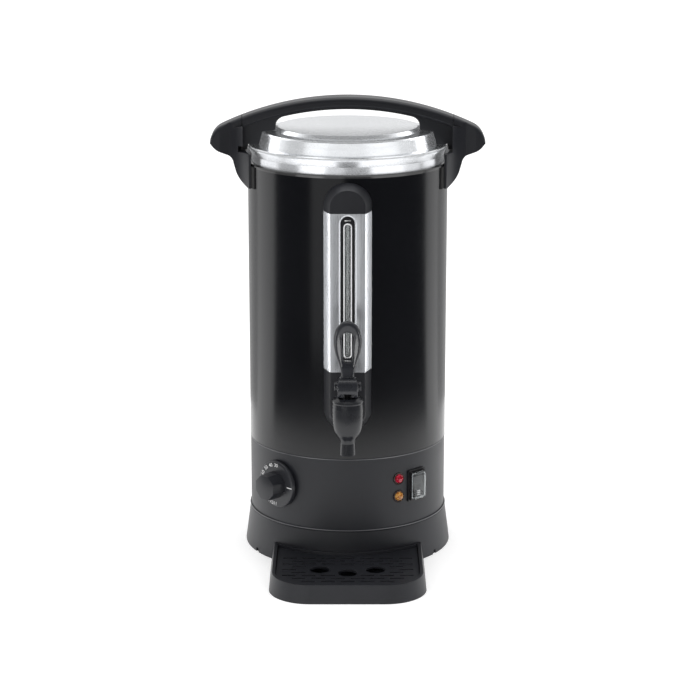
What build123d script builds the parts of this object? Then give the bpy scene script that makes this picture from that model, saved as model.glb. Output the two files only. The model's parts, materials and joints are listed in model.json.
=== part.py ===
from build123d import *

import os
from math import cos, radians, sin, sqrt

os.makedirs("parts", exist_ok=True)

# Hot water urn of 10 litres: a stainless tank in a black outer shell, a plastic base with its
# controls, a lid that locks under two side brackets by a part turn, a level gauge, a lever tap
# and a drip tray. Lengths are in millimetres. The origin is on the urn's axis, on the surface
# it stands on. +Z is up, -Y is the front with the tap, and +X is the right-hand side.

# ---------------------------------------------------------------- driving dimensions

# Body, from the floor up
skirt_foot_r = 116.1     # flared skirt, outside, at the floor
skirt_top_r = 110.8
skirt_h = 43.3
skirt_wall = 3.0
base_r = 109.7           # housing that carries the controls
base_wall = 2.0
skirt_lip = 3.0          # the skirt's top turns in to the housing
seam_z = 124.2           # shadow groove between the housing and the outer shell
seam_gap = 0.8
shell_r = 110.0
shell_wall = 1.2
shell_top_z = 437.0
tank_r = 104.0           # stainless tank, outside
tank_wall = 1.0
tank_floor_z = 149.0     # underside of the tank's floor
tank_foot_z = 143.0
collar_r = 105.5         # bare steel band above the shell
collar_z = 448.0
rim_r = 109.0            # rolled rim of the tank
rim_z = 453.0

# Lid
seal_t = 1.2
lid_sheet = 1.0
lid_flange_r = 108.0
lid_skirt_r = 98.3
lid_shoulder_r = 94.0
lid_shoulder_z = 469.4
boss_foot_r = 81.5
boss_foot_z = 470.6
boss_r = 77.0
boss_z = 474.0

# Arch handle on the lid, and the brackets that carry its line on to the sides
arch_r = 323.0           # top of the arch
arch_centre_z = 183.5
strap_t = 11.0
strap_w = 30.0
rib_depth = 2.0
rib_w = 26.0
arch_end_r = 116.0       # the arch ends on this cylinder
bracket_gap = 0.5
arch_leg_x = 79.0        # inner edge of each leg
leg_corner_r = 12.0
bracket_end_x = 150.8
bracket_seat_z = 447.5   # the brackets step in under the lid's lock at this height
pad_t = 1.5

# Level gauge
gauge_half_w = 25.7      # against the shell
gauge_face_y = -126.0
gauge_root_y = -107.0
gauge_draft = 20.0       # slope of its sides, degrees
gauge_top_z = 430.7
gauge_bottom_z = 156.0
guard_top_z = 399.0
guard_bottom_z = 227.0
guard_sheet = 1.2
slot_w = 15.3
slot_top_z = 395.9
slot_bottom_z = 234.7
tube_y = -118.5
tube_r = 4.5
tube_bore_r = 3.3

# Tap
tap_y = -165.0
shank_z = 184.0
shank_r = 9.0
shank_bore_r = 6.0
spout_z = 147.4
spout_r = 8.2
spout_bore_r = 5.5
valve_seat_z = 170.0
chamber_r = 10.5
tap_r = 16.4             # body of the tap, outside
tap_top_z = 204.5
bonnet_top_z = 210.8
stem_r = 3.5
pin_z = 222.0
pin_r = 2.0
cam_r = 11.0             # round heel of the lever
cam_offset = 4.5         # heel centre ahead of the pin: pulling the lever lifts the pin
lever_t = 9.0
ear_half_w = 14.2        # bosses round the pin, outside the hub
lever_top_z = 292.6

# Controls on the base, as angles round from the front
knob_angle = -43.5
knob_z = 87.9
knob_r = 26.2
knob_disc_t = 5.0
grip_w = 28.0
grip_h = 17.5
knob_gap = 0.7
lamp_angle = 30.7
lamp_z = 88.1
lamp_pitch = 20.2
lamp_r = 7.0
switch_angle = 43.2
switch_z = 87.2
switch_w = 25.0
switch_h = 36.0
rocker_tilt = 8.0
rocker_axle_r = 1.6
gland_z = 76.0
cord_hole_r = 3.75

# Drip tray
tray_half_w = 84.6
tray_front_y = -222.0
tray_corner_r = 45.0
tray_h = 20.0
tray_draft = 10.0
tray_floor = 3.0
tray_inner_half_w = 77.5
tray_gap = 0.6
grille_z = 14.5
grille_t = 2.5
drip_hole_r = 10.5


def arch_z(radius, x):
    """Height of an arc of the arch handle's family at the distance x from the axis."""
    return arch_centre_z + sqrt(radius**2 - x**2)


def radial_plane(angle, z, radius):
    """Plane that faces outward at an angle round from the front; its x runs right, its y up."""
    turn = radians(angle)
    outward = (sin(turn), -cos(turn), 0)
    return Plane(
        origin=(radius * outward[0], radius * outward[1], z),
        x_dir=(cos(turn), sin(turn), 0),
        z_dir=outward,
    )


def front_plane(y, x=0.0, z=0.0):
    """Upright plane that faces the front; its x runs right, its y up."""
    return Plane(origin=(x, y, z), x_dir=(1, 0, 0), z_dir=(0, -1, 0))


def slab(low, high):
    """Everything between two heights, to cut a part back to them."""
    with BuildPart() as block:
        with Locations((0, 0, low)):
            Box(500, 500, high - low, align=(Align.CENTER, Align.CENTER, Align.MIN))
    return block.part


def column(radius, low, high):
    """Upright cylinder round the urn's axis, between two heights."""
    with BuildPart() as post:
        with Locations((0, 0, low)):
            Cylinder(radius, high - low, align=(Align.CENTER, Align.CENTER, Align.MIN))
    return post.part


# ---------------------------------------------------------------- base

plate_z = 4.8
plate_t = 1.2
plate_r = 108.0
plate_top_z = plate_z + plate_t
plate_screw_ring_r = 104.0
plate_screw_angle = 22.5
plate_screw_r = 1.7
plate_screw_head_r = 3.4
plate_screw_head_t = 2.0
screw_shelf_r = plate_screw_ring_r - 5
screw_shelf_t = 3.0
foot_ring_r = 92.0
foot_angle = 45.0
foot_r = 9.0
foot_peg_r = 3.0
foot_peg_head_r = 4.2
foot_peg_head_t = 1.5
vent_ring_r = 45.0
vent_count = 10
vent_len = 34.0
vent_w = 4.0
skirt_notch_w = 6.0
skirt_notch_h = 4.5
skirt_notch_depth = 1.8
tongue_w = 60.0
tongue_gap = 2.0

with BuildPart() as base_skirt:
    with BuildSketch(Plane.XZ):
        with BuildLine():
            Polyline(
                (skirt_foot_r, 0),
                (skirt_top_r, skirt_h - 2),
                (skirt_top_r - 1, skirt_h),
                (base_r - base_wall - 1, skirt_h),
                (base_r - base_wall - 1, skirt_h - skirt_lip),
                (skirt_top_r - skirt_wall, skirt_h - skirt_lip),
                (skirt_foot_r - skirt_wall - 0.6, plate_top_z + screw_shelf_t),
                (screw_shelf_r, plate_top_z + screw_shelf_t),
                (screw_shelf_r, plate_top_z),
                (skirt_foot_r - skirt_wall - 0.4, plate_top_z),
                (skirt_foot_r - skirt_wall, 0),
                close=True,
            )
        make_face()
    revolve(axis=Axis.Z)
    with BuildSketch(Plane.XY.offset(plate_z)):
        with PolarLocations(plate_screw_ring_r, 4, start_angle=plate_screw_angle):
            Circle(plate_screw_r)
    extrude(amount=10, mode=Mode.SUBTRACT)
    # Shallow finger notches in the lower edge, outside only, so that the foot ring stays whole
    for notch_angle in (-118, -61, 57, 118):
        with BuildSketch(radial_plane(notch_angle, 0, skirt_foot_r - skirt_notch_depth)):
            Rectangle(skirt_notch_w, 2 * skirt_notch_h)
        extrude(amount=6, mode=Mode.SUBTRACT)
    # Front notch that takes the drip tray's tongue
    with BuildSketch(front_plane(-skirt_foot_r - 2)):
        Rectangle(tongue_w + 2 * tongue_gap, 10)
    extrude(amount=-12, mode=Mode.SUBTRACT)
base_skirt.part.label = "base_skirt"
export_step(base_skirt.part, "parts/base_skirt.step")

with BuildPart() as base_plate:
    with BuildSketch(Plane.XY.offset(plate_z)):
        Circle(plate_r)
        with PolarLocations(plate_screw_ring_r, 4, start_angle=plate_screw_angle):
            Circle(plate_screw_r, mode=Mode.SUBTRACT)
        with PolarLocations(foot_ring_r, 4, start_angle=foot_angle):
            Circle(foot_peg_r, mode=Mode.SUBTRACT)
        with PolarLocations(vent_ring_r, vent_count):
            Rectangle(vent_len, vent_w, mode=Mode.SUBTRACT)
    extrude(amount=plate_t)
base_plate.part.label = "base_plate"
export_step(base_plate.part, "parts/base_plate.step")

with BuildPart() as base_screws:
    with BuildSketch(Plane.XY.offset(plate_z - plate_screw_head_t)):
        with PolarLocations(plate_screw_ring_r, 4, start_angle=plate_screw_angle):
            RegularPolygon(plate_screw_head_r, 6)
    extrude(amount=plate_screw_head_t)
    with BuildSketch(Plane.XY.offset(plate_z)):
        with PolarLocations(plate_screw_ring_r, 4, start_angle=plate_screw_angle):
            Circle(plate_screw_r)
    extrude(amount=6)
base_screws.part.label = "base_screws"
export_step(base_screws.part, "parts/base_screws.step")

with BuildPart() as rubber_feet:
    with PolarLocations(foot_ring_r, 4, start_angle=foot_angle):
        Cone(foot_r - 1, foot_r, plate_z, align=(Align.CENTER, Align.CENTER, Align.MIN))
    # Each foot's peg snaps through the plate
    with BuildSketch(Plane.XY.offset(plate_z)):
        with PolarLocations(foot_ring_r, 4, start_angle=foot_angle):
            Circle(foot_peg_r)
    extrude(amount=plate_t)
    with BuildSketch(Plane.XY.offset(plate_top_z)):
        with PolarLocations(foot_ring_r, 4, start_angle=foot_angle):
            RegularPolygon(foot_peg_head_r, 8)
    extrude(amount=foot_peg_head_t)
rubber_feet.part.label = "rubber_feet"
export_step(rubber_feet.part, "parts/rubber_feet.step")

spigot_r = shell_r - shell_wall - 0.2
spigot_top_z = seam_z + 6
shaft_hole_r = 4.0
lamp_stem_r = 4.9
switch_hole_w = switch_w - 5
switch_hole_h = switch_h - 6
gland_hole_r = 8.0

with BuildPart() as base_housing:
    with BuildSketch(Plane.XZ):
        with BuildLine():
            Polyline(
                (base_r - base_wall, skirt_h),
                (base_r, skirt_h),
                (base_r, seam_z - 0.8),
                (base_r - 0.8, seam_z),
                (spigot_r, seam_z),
                (spigot_r, spigot_top_z),
                (spigot_r - base_wall, spigot_top_z),
                (spigot_r - base_wall, seam_z - 6),
                (base_r - base_wall, seam_z - 8),
                close=True,
            )
        make_face()
    revolve(axis=Axis.Z)
    with BuildSketch(radial_plane(knob_angle, knob_z, base_r + 2)):
        Circle(shaft_hole_r)
    extrude(amount=-10, mode=Mode.SUBTRACT)
    for side in (-0.5, 0.5):
        with BuildSketch(radial_plane(lamp_angle, lamp_z + side * lamp_pitch, base_r + 2)):
            Circle(lamp_stem_r + 0.1)
        extrude(amount=-10, mode=Mode.SUBTRACT)
    with BuildSketch(radial_plane(switch_angle, switch_z, base_r + 2)):
        Rectangle(switch_hole_w, switch_hole_h)
    extrude(amount=-10, mode=Mode.SUBTRACT)
    with BuildSketch(radial_plane(180, gland_z, base_r + 2)):
        Circle(gland_hole_r)
    extrude(amount=-10, mode=Mode.SUBTRACT)
base_housing.part.label = "base_housing"
export_step(base_housing.part, "parts/base_housing.step")

# ---------------------------------------------------------------- outer shell and tank

bracket_screw_z = (418.5, 430.0)
bracket_screw_r = 1.8
bracket_screw_head_r = 4.0
bracket_screw_head_t = 2.4
shell_edge = 2.5         # the shell's upper edge slopes in to the tank's band by this much
band_foot_z = shell_top_z - 3

with BuildPart() as outer_shell:
    with BuildSketch(Plane.XZ):
        with BuildLine():
            Polyline(
                (shell_r, seam_z + seam_gap),
                (shell_r, shell_top_z - shell_edge),
                (shell_r - shell_edge, shell_top_z),
                (collar_r, shell_top_z),
                (collar_r, shell_top_z - shell_wall),
                (shell_r - shell_edge - 0.3, shell_top_z - shell_wall),
                (shell_r - shell_wall, shell_top_z - shell_edge - 0.5),
                (shell_r - shell_wall, seam_z + seam_gap),
                close=True,
            )
        make_face()
    revolve(axis=Axis.Z)
    with BuildSketch(front_plane(-shell_r - 2, z=shank_z)):
        Circle(shank_r + 0.5)
    extrude(amount=-12, mode=Mode.SUBTRACT)
    for side in (-90, 90):
        for z in bracket_screw_z:
            with BuildSketch(radial_plane(side, z, shell_r + 2)):
                Circle(bracket_screw_r + 0.4)
            extrude(amount=-6, mode=Mode.SUBTRACT)
outer_shell.part.label = "outer_shell"
export_step(outer_shell.part, "parts/outer_shell.step")

with BuildPart() as inner_tank:
    # Rolled wall, widened above into the bare band, with a turned rim; its foot reaches past the floor
    with BuildSketch(Plane.XZ):
        with BuildLine():
            Polyline(
                (tank_r, tank_foot_z),
                (tank_r, band_foot_z - 5),
                (collar_r, band_foot_z),
                (collar_r, collar_z),
                (rim_r - 0.4, rim_z - 1.6),
                (rim_r, rim_z - 0.8),
                (rim_r - 0.4, rim_z),
                (collar_r - tank_wall, rim_z),
                (collar_r - tank_wall, band_foot_z),
                (tank_r - tank_wall, band_foot_z - 5),
                (tank_r - tank_wall, tank_foot_z),
                close=True,
            )
        make_face()
    revolve(axis=Axis.Z)
    with BuildSketch(front_plane(-tank_r - 2, z=shank_z)):
        Circle(shank_r + 0.2)
    extrude(amount=-8, mode=Mode.SUBTRACT)
inner_tank.part.label = "inner_tank"
export_step(inner_tank.part, "parts/inner_tank.step")

with BuildPart() as tank_floor:
    # Pressed floor, let into the wall and welded to it along its turned-down edge
    with BuildSketch(Plane.XZ):
        with BuildLine():
            Polyline(
                (0, tank_floor_z),
                (tank_r - 2 * tank_wall, tank_floor_z),
                (tank_r - 2 * tank_wall, tank_foot_z),
                (tank_r - tank_wall, tank_foot_z),
                (tank_r - tank_wall, tank_floor_z + tank_wall),
                (0, tank_floor_z + tank_wall),
                close=True,
            )
        make_face()
    revolve(axis=Axis.Z)
tank_floor.part.label = "tank_floor"
export_step(tank_floor.part, "parts/tank_floor.step")

support_sheet = 1.6
support_top_r = 94.0
support_seat_w = 8.0

with BuildPart() as tank_support:
    # Pressed ring: the tank's floor rests on its top, and its foot stands on the housing
    with BuildSketch(Plane.XZ):
        with BuildLine():
            Polyline(
                (support_top_r - support_seat_w, tank_floor_z),
                (support_top_r, tank_floor_z),
                (spigot_r - 3.6, spigot_top_z + support_sheet),
                (spigot_r - 0.4, spigot_top_z + support_sheet),
                (spigot_r - 0.4, spigot_top_z),
                (spigot_r - 5, spigot_top_z),
                (support_top_r - 1.2, tank_floor_z - support_sheet),
                (support_top_r - support_seat_w, tank_floor_z - support_sheet),
                close=True,
            )
        make_face()
    revolve(axis=Axis.Z)
tank_support.part.label = "tank_support"
export_step(tank_support.part, "parts/tank_support.step")

# ---------------------------------------------------------------- heating and wiring inside

tab_w = 6.3              # push-on wiring tabs
tab_t = 0.8
tab_len = 9.0
heater_plate_r = 84.0
heater_plate_t = 3.0
heater_ring_r = 66.0
heater_tube_r = 4.0
heater_z = tank_floor_z - heater_plate_t
cold_pin_r = 2.0
cold_pin_x = 12.0
cutout_y = 25.0
cutout_r = 8.0
cutout_h = 7.0

with BuildPart() as heating_element:
    with BuildSketch(Plane.XY.offset(heater_z)):
        Circle(heater_plate_r)
    extrude(amount=heater_plate_t)
    with BuildSketch(Plane.XZ):
        with Locations((heater_ring_r, heater_z - heater_tube_r + 1)):
            RegularPolygon(heater_tube_r, 8, rotation=22.5)
    revolve(axis=Axis.Z)
    # Cold pins of the tube, at the back
    with BuildSketch(Plane.XY.offset(heater_z)):
        with Locations((-cold_pin_x, heater_ring_r), (cold_pin_x, heater_ring_r)):
            Circle(cold_pin_r)
    extrude(amount=-22)
heating_element.part.label = "heating_element"
export_step(heating_element.part, "parts/heating_element.step")

with BuildPart() as thermal_cutout:
    with BuildSketch(Plane.XY.offset(heater_z)):
        with Locations((0, cutout_y)):
            Circle(cutout_r)
    extrude(amount=-cutout_h)
    with BuildSketch(Plane.XY.offset(heater_z - cutout_h)):
        with Locations((-4.5, cutout_y), (4.5, cutout_y)):
            Rectangle(tab_t, tab_w)
    extrude(amount=-tab_len)
thermal_cutout.part.label = "thermal_cutout"
export_step(thermal_cutout.part, "parts/thermal_cutout.step")

thermostat_face_r = base_r - base_wall - 2.2
thermostat_depth = 24.0
shaft_r = 3.0

with BuildPart() as thermostat:
    with BuildSketch(radial_plane(knob_angle, knob_z, thermostat_face_r)) as thermostat_face:
        Rectangle(34, 40)
        fillet(thermostat_face.vertices(), 3)
    extrude(amount=-thermostat_depth)
    with BuildSketch(radial_plane(knob_angle, knob_z, thermostat_face_r)):
        Circle(shaft_hole_r - 0.1)
    extrude(amount=4)
    with BuildSketch(radial_plane(knob_angle, knob_z, thermostat_face_r - thermostat_depth)):
        with Locations((-10, 0), (10, 0)):
            Rectangle(tab_w, tab_t)
    extrude(amount=-tab_len)
thermostat.part.label = "thermostat"
export_step(thermostat.part, "parts/thermostat.step")

terminal_y = 78.0
terminal_h = 14.0
terminal_pitch = 11.0

with BuildPart() as terminal_block:
    with BuildSketch(Plane.XY.offset(plate_top_z)):
        with Locations((0, terminal_y)):
            Rectangle(3 * terminal_pitch + 3, 18)
    extrude(amount=terminal_h)
    with BuildSketch(Plane.XY.offset(plate_top_z + terminal_h)):
        with Locations((0, terminal_y)):
            with GridLocations(terminal_pitch, 0, 3, 1):
                Circle(3)
    extrude(amount=-6, mode=Mode.SUBTRACT)
terminal_block.part.label = "terminal_block"
export_step(terminal_block.part, "parts/terminal_block.step")

gland_face_r = base_r + 3
gland_nut_r = base_r - base_wall - 0.8
gland_depth = 6.0
gland_flange_r = 11.0
gland_nut_t = 4.0

with BuildPart() as cord_gland:
    with BuildSketch(radial_plane(180, gland_z, gland_face_r)):
        Circle(gland_flange_r)
    extrude(amount=-4)
    add(column(base_r, 0, 200), mode=Mode.SUBTRACT)
    with BuildSketch(radial_plane(180, gland_z, gland_face_r)):
        Circle(gland_hole_r - 0.5)
    extrude(amount=gland_depth, taper=8)
    with BuildSketch(radial_plane(180, gland_z, gland_face_r)):
        Circle(gland_hole_r - 0.1)
    extrude(amount=gland_nut_r - gland_depth - gland_face_r)
    with BuildSketch(radial_plane(180, gland_z, gland_nut_r)):
        RegularPolygon(gland_flange_r, 6)
    extrude(amount=-gland_nut_t)
    with BuildSketch(radial_plane(180, gland_z, gland_face_r + gland_depth + 1)):
        Circle(cord_hole_r)
    extrude(amount=-30, mode=Mode.SUBTRACT)
cord_gland.part.label = "cord_gland"
export_step(cord_gland.part, "parts/cord_gland.step")

# ---------------------------------------------------------------- level gauge


def gauge_form(inset):
    """The gauge's whole form, drawn smaller by an inset: drafted sides and a flat face."""
    half = gauge_half_w - inset
    with BuildPart() as form:
        with BuildSketch(front_plane(gauge_root_y)) as outline:
            with Locations((0, (gauge_top_z + gauge_bottom_z) / 2)):
                SlotOverall(gauge_top_z - gauge_bottom_z - 2 * inset, 2 * half, rotation=90)
        extrude(amount=gauge_root_y - gauge_face_y - inset, taper=gauge_draft)
        extrude(outline.sketch, amount=-8)
    return form.part


socket_r = 6.5
socket_depth = 10.0
cap_edge_r = 1.5

with BuildPart() as gauge_cap:
    add(gauge_form(0))
    add(slab(guard_top_z, gauge_top_z + 1), mode=Mode.INTERSECT)
    add(column(shell_r, 0, 500), mode=Mode.SUBTRACT)
    fillet(gauge_cap.edges().filter_by_position(Axis.Y, gauge_face_y - 0.1, gauge_face_y + 0.1)
           .filter_by(GeomType.CIRCLE), cap_edge_r)
    with BuildSketch(Plane.XY.offset(guard_top_z - 1)):
        with Locations((0, tube_y)):
            Circle(socket_r)
    extrude(amount=socket_depth + 1, mode=Mode.SUBTRACT)
gauge_cap.part.label = "gauge_cap"
export_step(gauge_cap.part, "parts/gauge_cap.step")

with BuildPart() as gauge_guard:
    add(gauge_form(0))
    add(slab(guard_bottom_z, guard_top_z), mode=Mode.INTERSECT)
    add(column(shell_r, 0, 500), mode=Mode.SUBTRACT)
    add(gauge_form(guard_sheet), mode=Mode.SUBTRACT)
    with BuildSketch(front_plane(gauge_face_y - 1)):
        with Locations((0, (slot_top_z + slot_bottom_z) / 2)):
            SlotOverall(slot_top_z - slot_bottom_z, slot_w, rotation=90)
    extrude(amount=-4, mode=Mode.SUBTRACT)
gauge_guard.part.label = "gauge_guard"
export_step(gauge_guard.part, "parts/gauge_guard.step")

insert_face_y = gauge_face_y + guard_sheet + 0.8
insert_back_y = tube_y + tube_r + 0.5
insert_w = slot_w + 4
insert_h = slot_top_z - slot_bottom_z + 4
insert_front_t = 0.9
insert_back_t = 1.6
window_w = 2 * tube_r + 0.6
window_h = insert_h - 18
slot_mid_z = (slot_top_z + slot_bottom_z) / 2

with BuildPart() as gauge_insert:
    # Black carrier behind the guard: a front plate with the tube's window, and a back plate
    with BuildSketch(front_plane(insert_face_y, z=slot_mid_z)):
        SlotOverall(insert_h, insert_w, rotation=90)
        SlotOverall(window_h, window_w, rotation=90, mode=Mode.SUBTRACT)
    extrude(amount=-insert_front_t)
    with BuildSketch(front_plane(insert_back_y, z=slot_mid_z)):
        SlotOverall(insert_h, insert_w, rotation=90)
    extrude(amount=-insert_back_t)
    with BuildSketch(front_plane(insert_face_y, z=slot_mid_z)):
        with GridLocations(insert_w - insert_back_t, 0, 2, 1):
            Rectangle(insert_back_t, insert_h - insert_w)
    extrude(amount=insert_face_y - insert_back_y - 0.5)
gauge_insert.part.label = "gauge_insert"
export_step(gauge_insert.part, "parts/gauge_insert.step")

with BuildPart() as gauge_base:
    add(gauge_form(0))
    add(slab(gauge_bottom_z - 1, guard_bottom_z), mode=Mode.INTERSECT)
    add(column(shell_r, 0, 500), mode=Mode.SUBTRACT)
    fillet(gauge_base.edges().filter_by_position(Axis.Y, gauge_face_y - 0.1, gauge_face_y + 0.1)
           .filter_by(GeomType.CIRCLE), cap_edge_r)
    with BuildSketch(front_plane(gauge_face_y - 1, z=shank_z)):
        Circle(shank_r + 0.1)
    extrude(amount=-30, mode=Mode.SUBTRACT)
    with BuildSketch(Plane.XY.offset(guard_bottom_z + 1)):
        with Locations((0, tube_y)):
            Circle(socket_r)
    extrude(amount=-socket_depth - 1, mode=Mode.SUBTRACT)
    with BuildSketch(Plane.XY.offset(guard_bottom_z)):
        with Locations((0, tube_y)):
            Circle(tube_bore_r)
    extrude(amount=shank_z - guard_bottom_z, mode=Mode.SUBTRACT)
gauge_base.part.label = "gauge_base"
export_step(gauge_base.part, "parts/gauge_base.step")

with BuildPart() as sight_tube:
    with BuildSketch(Plane.XY.offset(guard_bottom_z - socket_depth + 1)):
        with Locations((0, tube_y)):
            Circle(tube_r)
            Circle(tube_bore_r, mode=Mode.SUBTRACT)
    extrude(amount=guard_top_z - guard_bottom_z + 2 * socket_depth - 2)
sight_tube.part.label = "sight_tube"
export_step(sight_tube.part, "parts/sight_tube.step")

with BuildPart() as gauge_seals:
    for low in (guard_bottom_z - socket_depth, guard_top_z + 1):
        with BuildSketch(Plane.XY.offset(low)):
            with Locations((0, tube_y)):
                Circle(socket_r)
                Circle(tube_r, mode=Mode.SUBTRACT)
        extrude(amount=socket_depth - 1)
gauge_seals.part.label = "gauge_seals"
export_step(gauge_seals.part, "parts/gauge_seals.step")

# ---------------------------------------------------------------- tap

nut_face_y = -(tank_r - tank_wall) + 2.2
nut_t = 6.0
nut_r = 14.0
shank_end_y = nut_face_y + nut_t + 2
shank_flange_r = 14.0
shank_flange_t = 3.5
arm_r = 11.5
port_r = 2.5

with BuildPart() as tap_body:
    with BuildSketch(Plane.YZ) as tap_profile:
        with BuildLine():
            Polyline(
                (tap_y + spout_r - 0.5, spout_z + 13),
                (tap_y + spout_r, spout_z),
                (tap_y, spout_z),
                (tap_y, tap_top_z),
                (tap_y + tap_r - 0.3, tap_top_z),
                (tap_y + tap_r, tap_top_z - 5),
            )
            Spline(
                (tap_y + tap_r, tap_top_z - 5),
                (tap_y + tap_r - 0.5, valve_seat_z + 12),
                (tap_y + 12.6, valve_seat_z),
                (tap_y + spout_r - 0.5, spout_z + 13),
                tangents=[(0, -1), (-0.15, -1)],
            )
        make_face()
    revolve(axis=Axis((0, tap_y, 0), (0, 0, 1)))
    with BuildSketch(front_plane(shank_end_y, z=shank_z)):
        Circle(shank_r)
    extrude(amount=shank_end_y - tap_y)
    with BuildSketch(front_plane(gauge_face_y, z=shank_z)):
        Circle(shank_flange_r)
    extrude(amount=shank_flange_t)
    with BuildSketch(front_plane(gauge_face_y - shank_flange_t, z=shank_z)):
        Circle(arm_r)
    extrude(amount=14)
    with BuildSketch(Plane.XY.offset(valve_seat_z)):
        with Locations((0, tap_y)):
            Circle(chamber_r)
    extrude(amount=60, mode=Mode.SUBTRACT)
    with BuildSketch(Plane.XY.offset(spout_z)):
        with Locations((0, tap_y)):
            Circle(spout_bore_r)
    extrude(amount=60, mode=Mode.SUBTRACT)
    with BuildSketch(front_plane(shank_end_y, z=shank_z)):
        Circle(shank_bore_r)
    extrude(amount=shank_end_y - tap_y, mode=Mode.SUBTRACT)
    # Port from the shank up to the sight tube
    with BuildSketch(Plane.XY.offset(shank_z)):
        with Locations((0, tube_y)):
            Circle(port_r)
    extrude(amount=12, mode=Mode.SUBTRACT)
tap_body.part.label = "tap_body"
export_step(tap_body.part, "parts/tap_body.step")

with BuildPart() as tap_washers:
    # Spacer between the tank and the shell, and the seal under the nut
    with BuildSketch(front_plane(nut_face_y, z=shank_z)):
        Circle(nut_r)
        Circle(shank_r, mode=Mode.SUBTRACT)
    extrude(amount=shell_r)
    add(column(shell_r - shell_wall, 0, 500), mode=Mode.INTERSECT)
    with BuildSketch(Plane.XY.offset(shank_z - nut_r - 1)):
        Circle(tank_r)
        Circle(tank_r - tank_wall, mode=Mode.SUBTRACT)
    extrude(amount=2 * nut_r + 2, mode=Mode.SUBTRACT)
tap_washers.part.label = "tap_washers"
export_step(tap_washers.part, "parts/tap_washers.step")

with BuildPart() as tap_nut:
    with BuildSketch(front_plane(nut_face_y, z=shank_z)):
        RegularPolygon(nut_r, 6)
        Circle(shank_r, mode=Mode.SUBTRACT)
    extrude(amount=-nut_t)
tap_nut.part.label = "tap_nut"
export_step(tap_nut.part, "parts/tap_nut.step")

bonnet_plug_z = tap_top_z - 6     # the bonnet's plug reaches down into the chamber
bonnet_ring_r = tap_r + 0.2
bonnet_crown_r = 12.5

with BuildPart() as tap_bonnet:
    with BuildSketch(Plane.YZ):
        with BuildLine():
            Polyline(
                (tap_y + stem_r + 0.1, bonnet_plug_z),
                (tap_y + chamber_r, bonnet_plug_z),
                (tap_y + chamber_r, tap_top_z),
                (tap_y + tap_r - 0.3, tap_top_z),
                (tap_y + bonnet_ring_r, tap_top_z + 1.2),
                (tap_y + bonnet_ring_r, tap_top_z + 3.0),
                (tap_y + bonnet_ring_r - 1.4, tap_top_z + 4.4),
                (tap_y + bonnet_crown_r, bonnet_top_z),
                (tap_y + stem_r + 0.1, bonnet_top_z),
                close=True,
            )
        make_face()
    revolve(axis=Axis((0, tap_y, 0), (0, 0, 1)))
tap_bonnet.part.label = "tap_bonnet"
export_step(tap_bonnet.part, "parts/tap_bonnet.step")

cup_r = 8.4
cup_h = 8.0
cup_lip = 3.0
cup_foot_z = valve_seat_z + 0.1

with BuildPart() as seat_cup:
    with BuildSketch(Plane.YZ):
        with BuildLine():
            Polyline(
                (tap_y, cup_foot_z),
                (tap_y + cup_r, cup_foot_z),
                (tap_y + cup_r, valve_seat_z + cup_lip),
                (tap_y + stem_r + 1.6, valve_seat_z + cup_h),
                (tap_y + stem_r, valve_seat_z + cup_h),
                (tap_y + stem_r, valve_seat_z + cup_lip),
                (tap_y, valve_seat_z + cup_lip),
                close=True,
            )
        make_face()
    revolve(axis=Axis((0, tap_y, 0), (0, 0, 1)))
seat_cup.part.label = "seat_cup"
export_step(seat_cup.part, "parts/seat_cup.step")

stem_collar_z = valve_seat_z + cup_h
stem_collar_r = 8.0
stem_collar_t = 1.5
stem_low_z = valve_seat_z + cup_lip
stem_top_z = pin_z + 5

with BuildPart() as tap_stem:
    with BuildSketch(Plane.XY.offset(stem_low_z)):
        with Locations((0, tap_y)):
            Circle(stem_r)
    extrude(amount=stem_top_z - stem_low_z)
    with BuildSketch(Plane.XY.offset(stem_collar_z)):
        with Locations((0, tap_y)):
            Circle(stem_collar_r)
    extrude(amount=stem_collar_t)
    with BuildSketch(Plane.YZ):
        with Locations((tap_y, pin_z)):
            Circle(pin_r)
    extrude(amount=10, both=True, mode=Mode.SUBTRACT)
tap_stem.part.label = "tap_stem"
export_step(tap_stem.part, "parts/tap_stem.step")

with BuildPart() as lever_pin:
    with BuildSketch(Plane.YZ):
        with Locations((tap_y, pin_z)):
            Circle(pin_r)
    extrude(amount=ear_half_w - 0.8, both=True)
lever_pin.part.label = "lever_pin"
export_step(lever_pin.part, "parts/lever_pin.step")

spring_wire_r = 0.6
spring_r = 6.2
spring_turns = 4
spring_low_z = stem_collar_z + stem_collar_t + spring_wire_r
spring_high_z = bonnet_plug_z - spring_wire_r
spring_h = spring_high_z - spring_low_z

with BuildPart() as tap_spring:
    with BuildLine(Plane.XY.offset(spring_low_z)):
        coil = Helix(pitch=spring_h / spring_turns, height=spring_h, radius=spring_r,
                     center=(0, tap_y, 0))
    with BuildSketch(Plane(origin=coil @ 0, z_dir=coil % 0)):
        RegularPolygon(spring_wire_r, 6)
    sweep(path=coil, is_frenet=True)
tap_spring.part.label = "tap_spring"
export_step(tap_spring.part, "parts/tap_spring.step")

hub_half_w = 10.6
ear_r = 5.0
fork_half_w = stem_r + 0.5
fork_front = 11.0        # inside of the hub's front wall, ahead of the pin
fork_top_z = pin_z + 7
mouth_half_w = 7.5
mouth_top_z = pin_z - 5
hub_root = (9.6, pin_z + 4)
neck = (7.2, 239.0)
shoulder = (10.9, 252.0)
loop_wide_z = 272.0
loop_half_w = 14.7
hole_top_z = 280.4
hole_top_r = 6.6
hole_low_z = 244.6
hole_low_r = 4.4
lever_round = 2.0        # rounding of the loop's front and back edges


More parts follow.
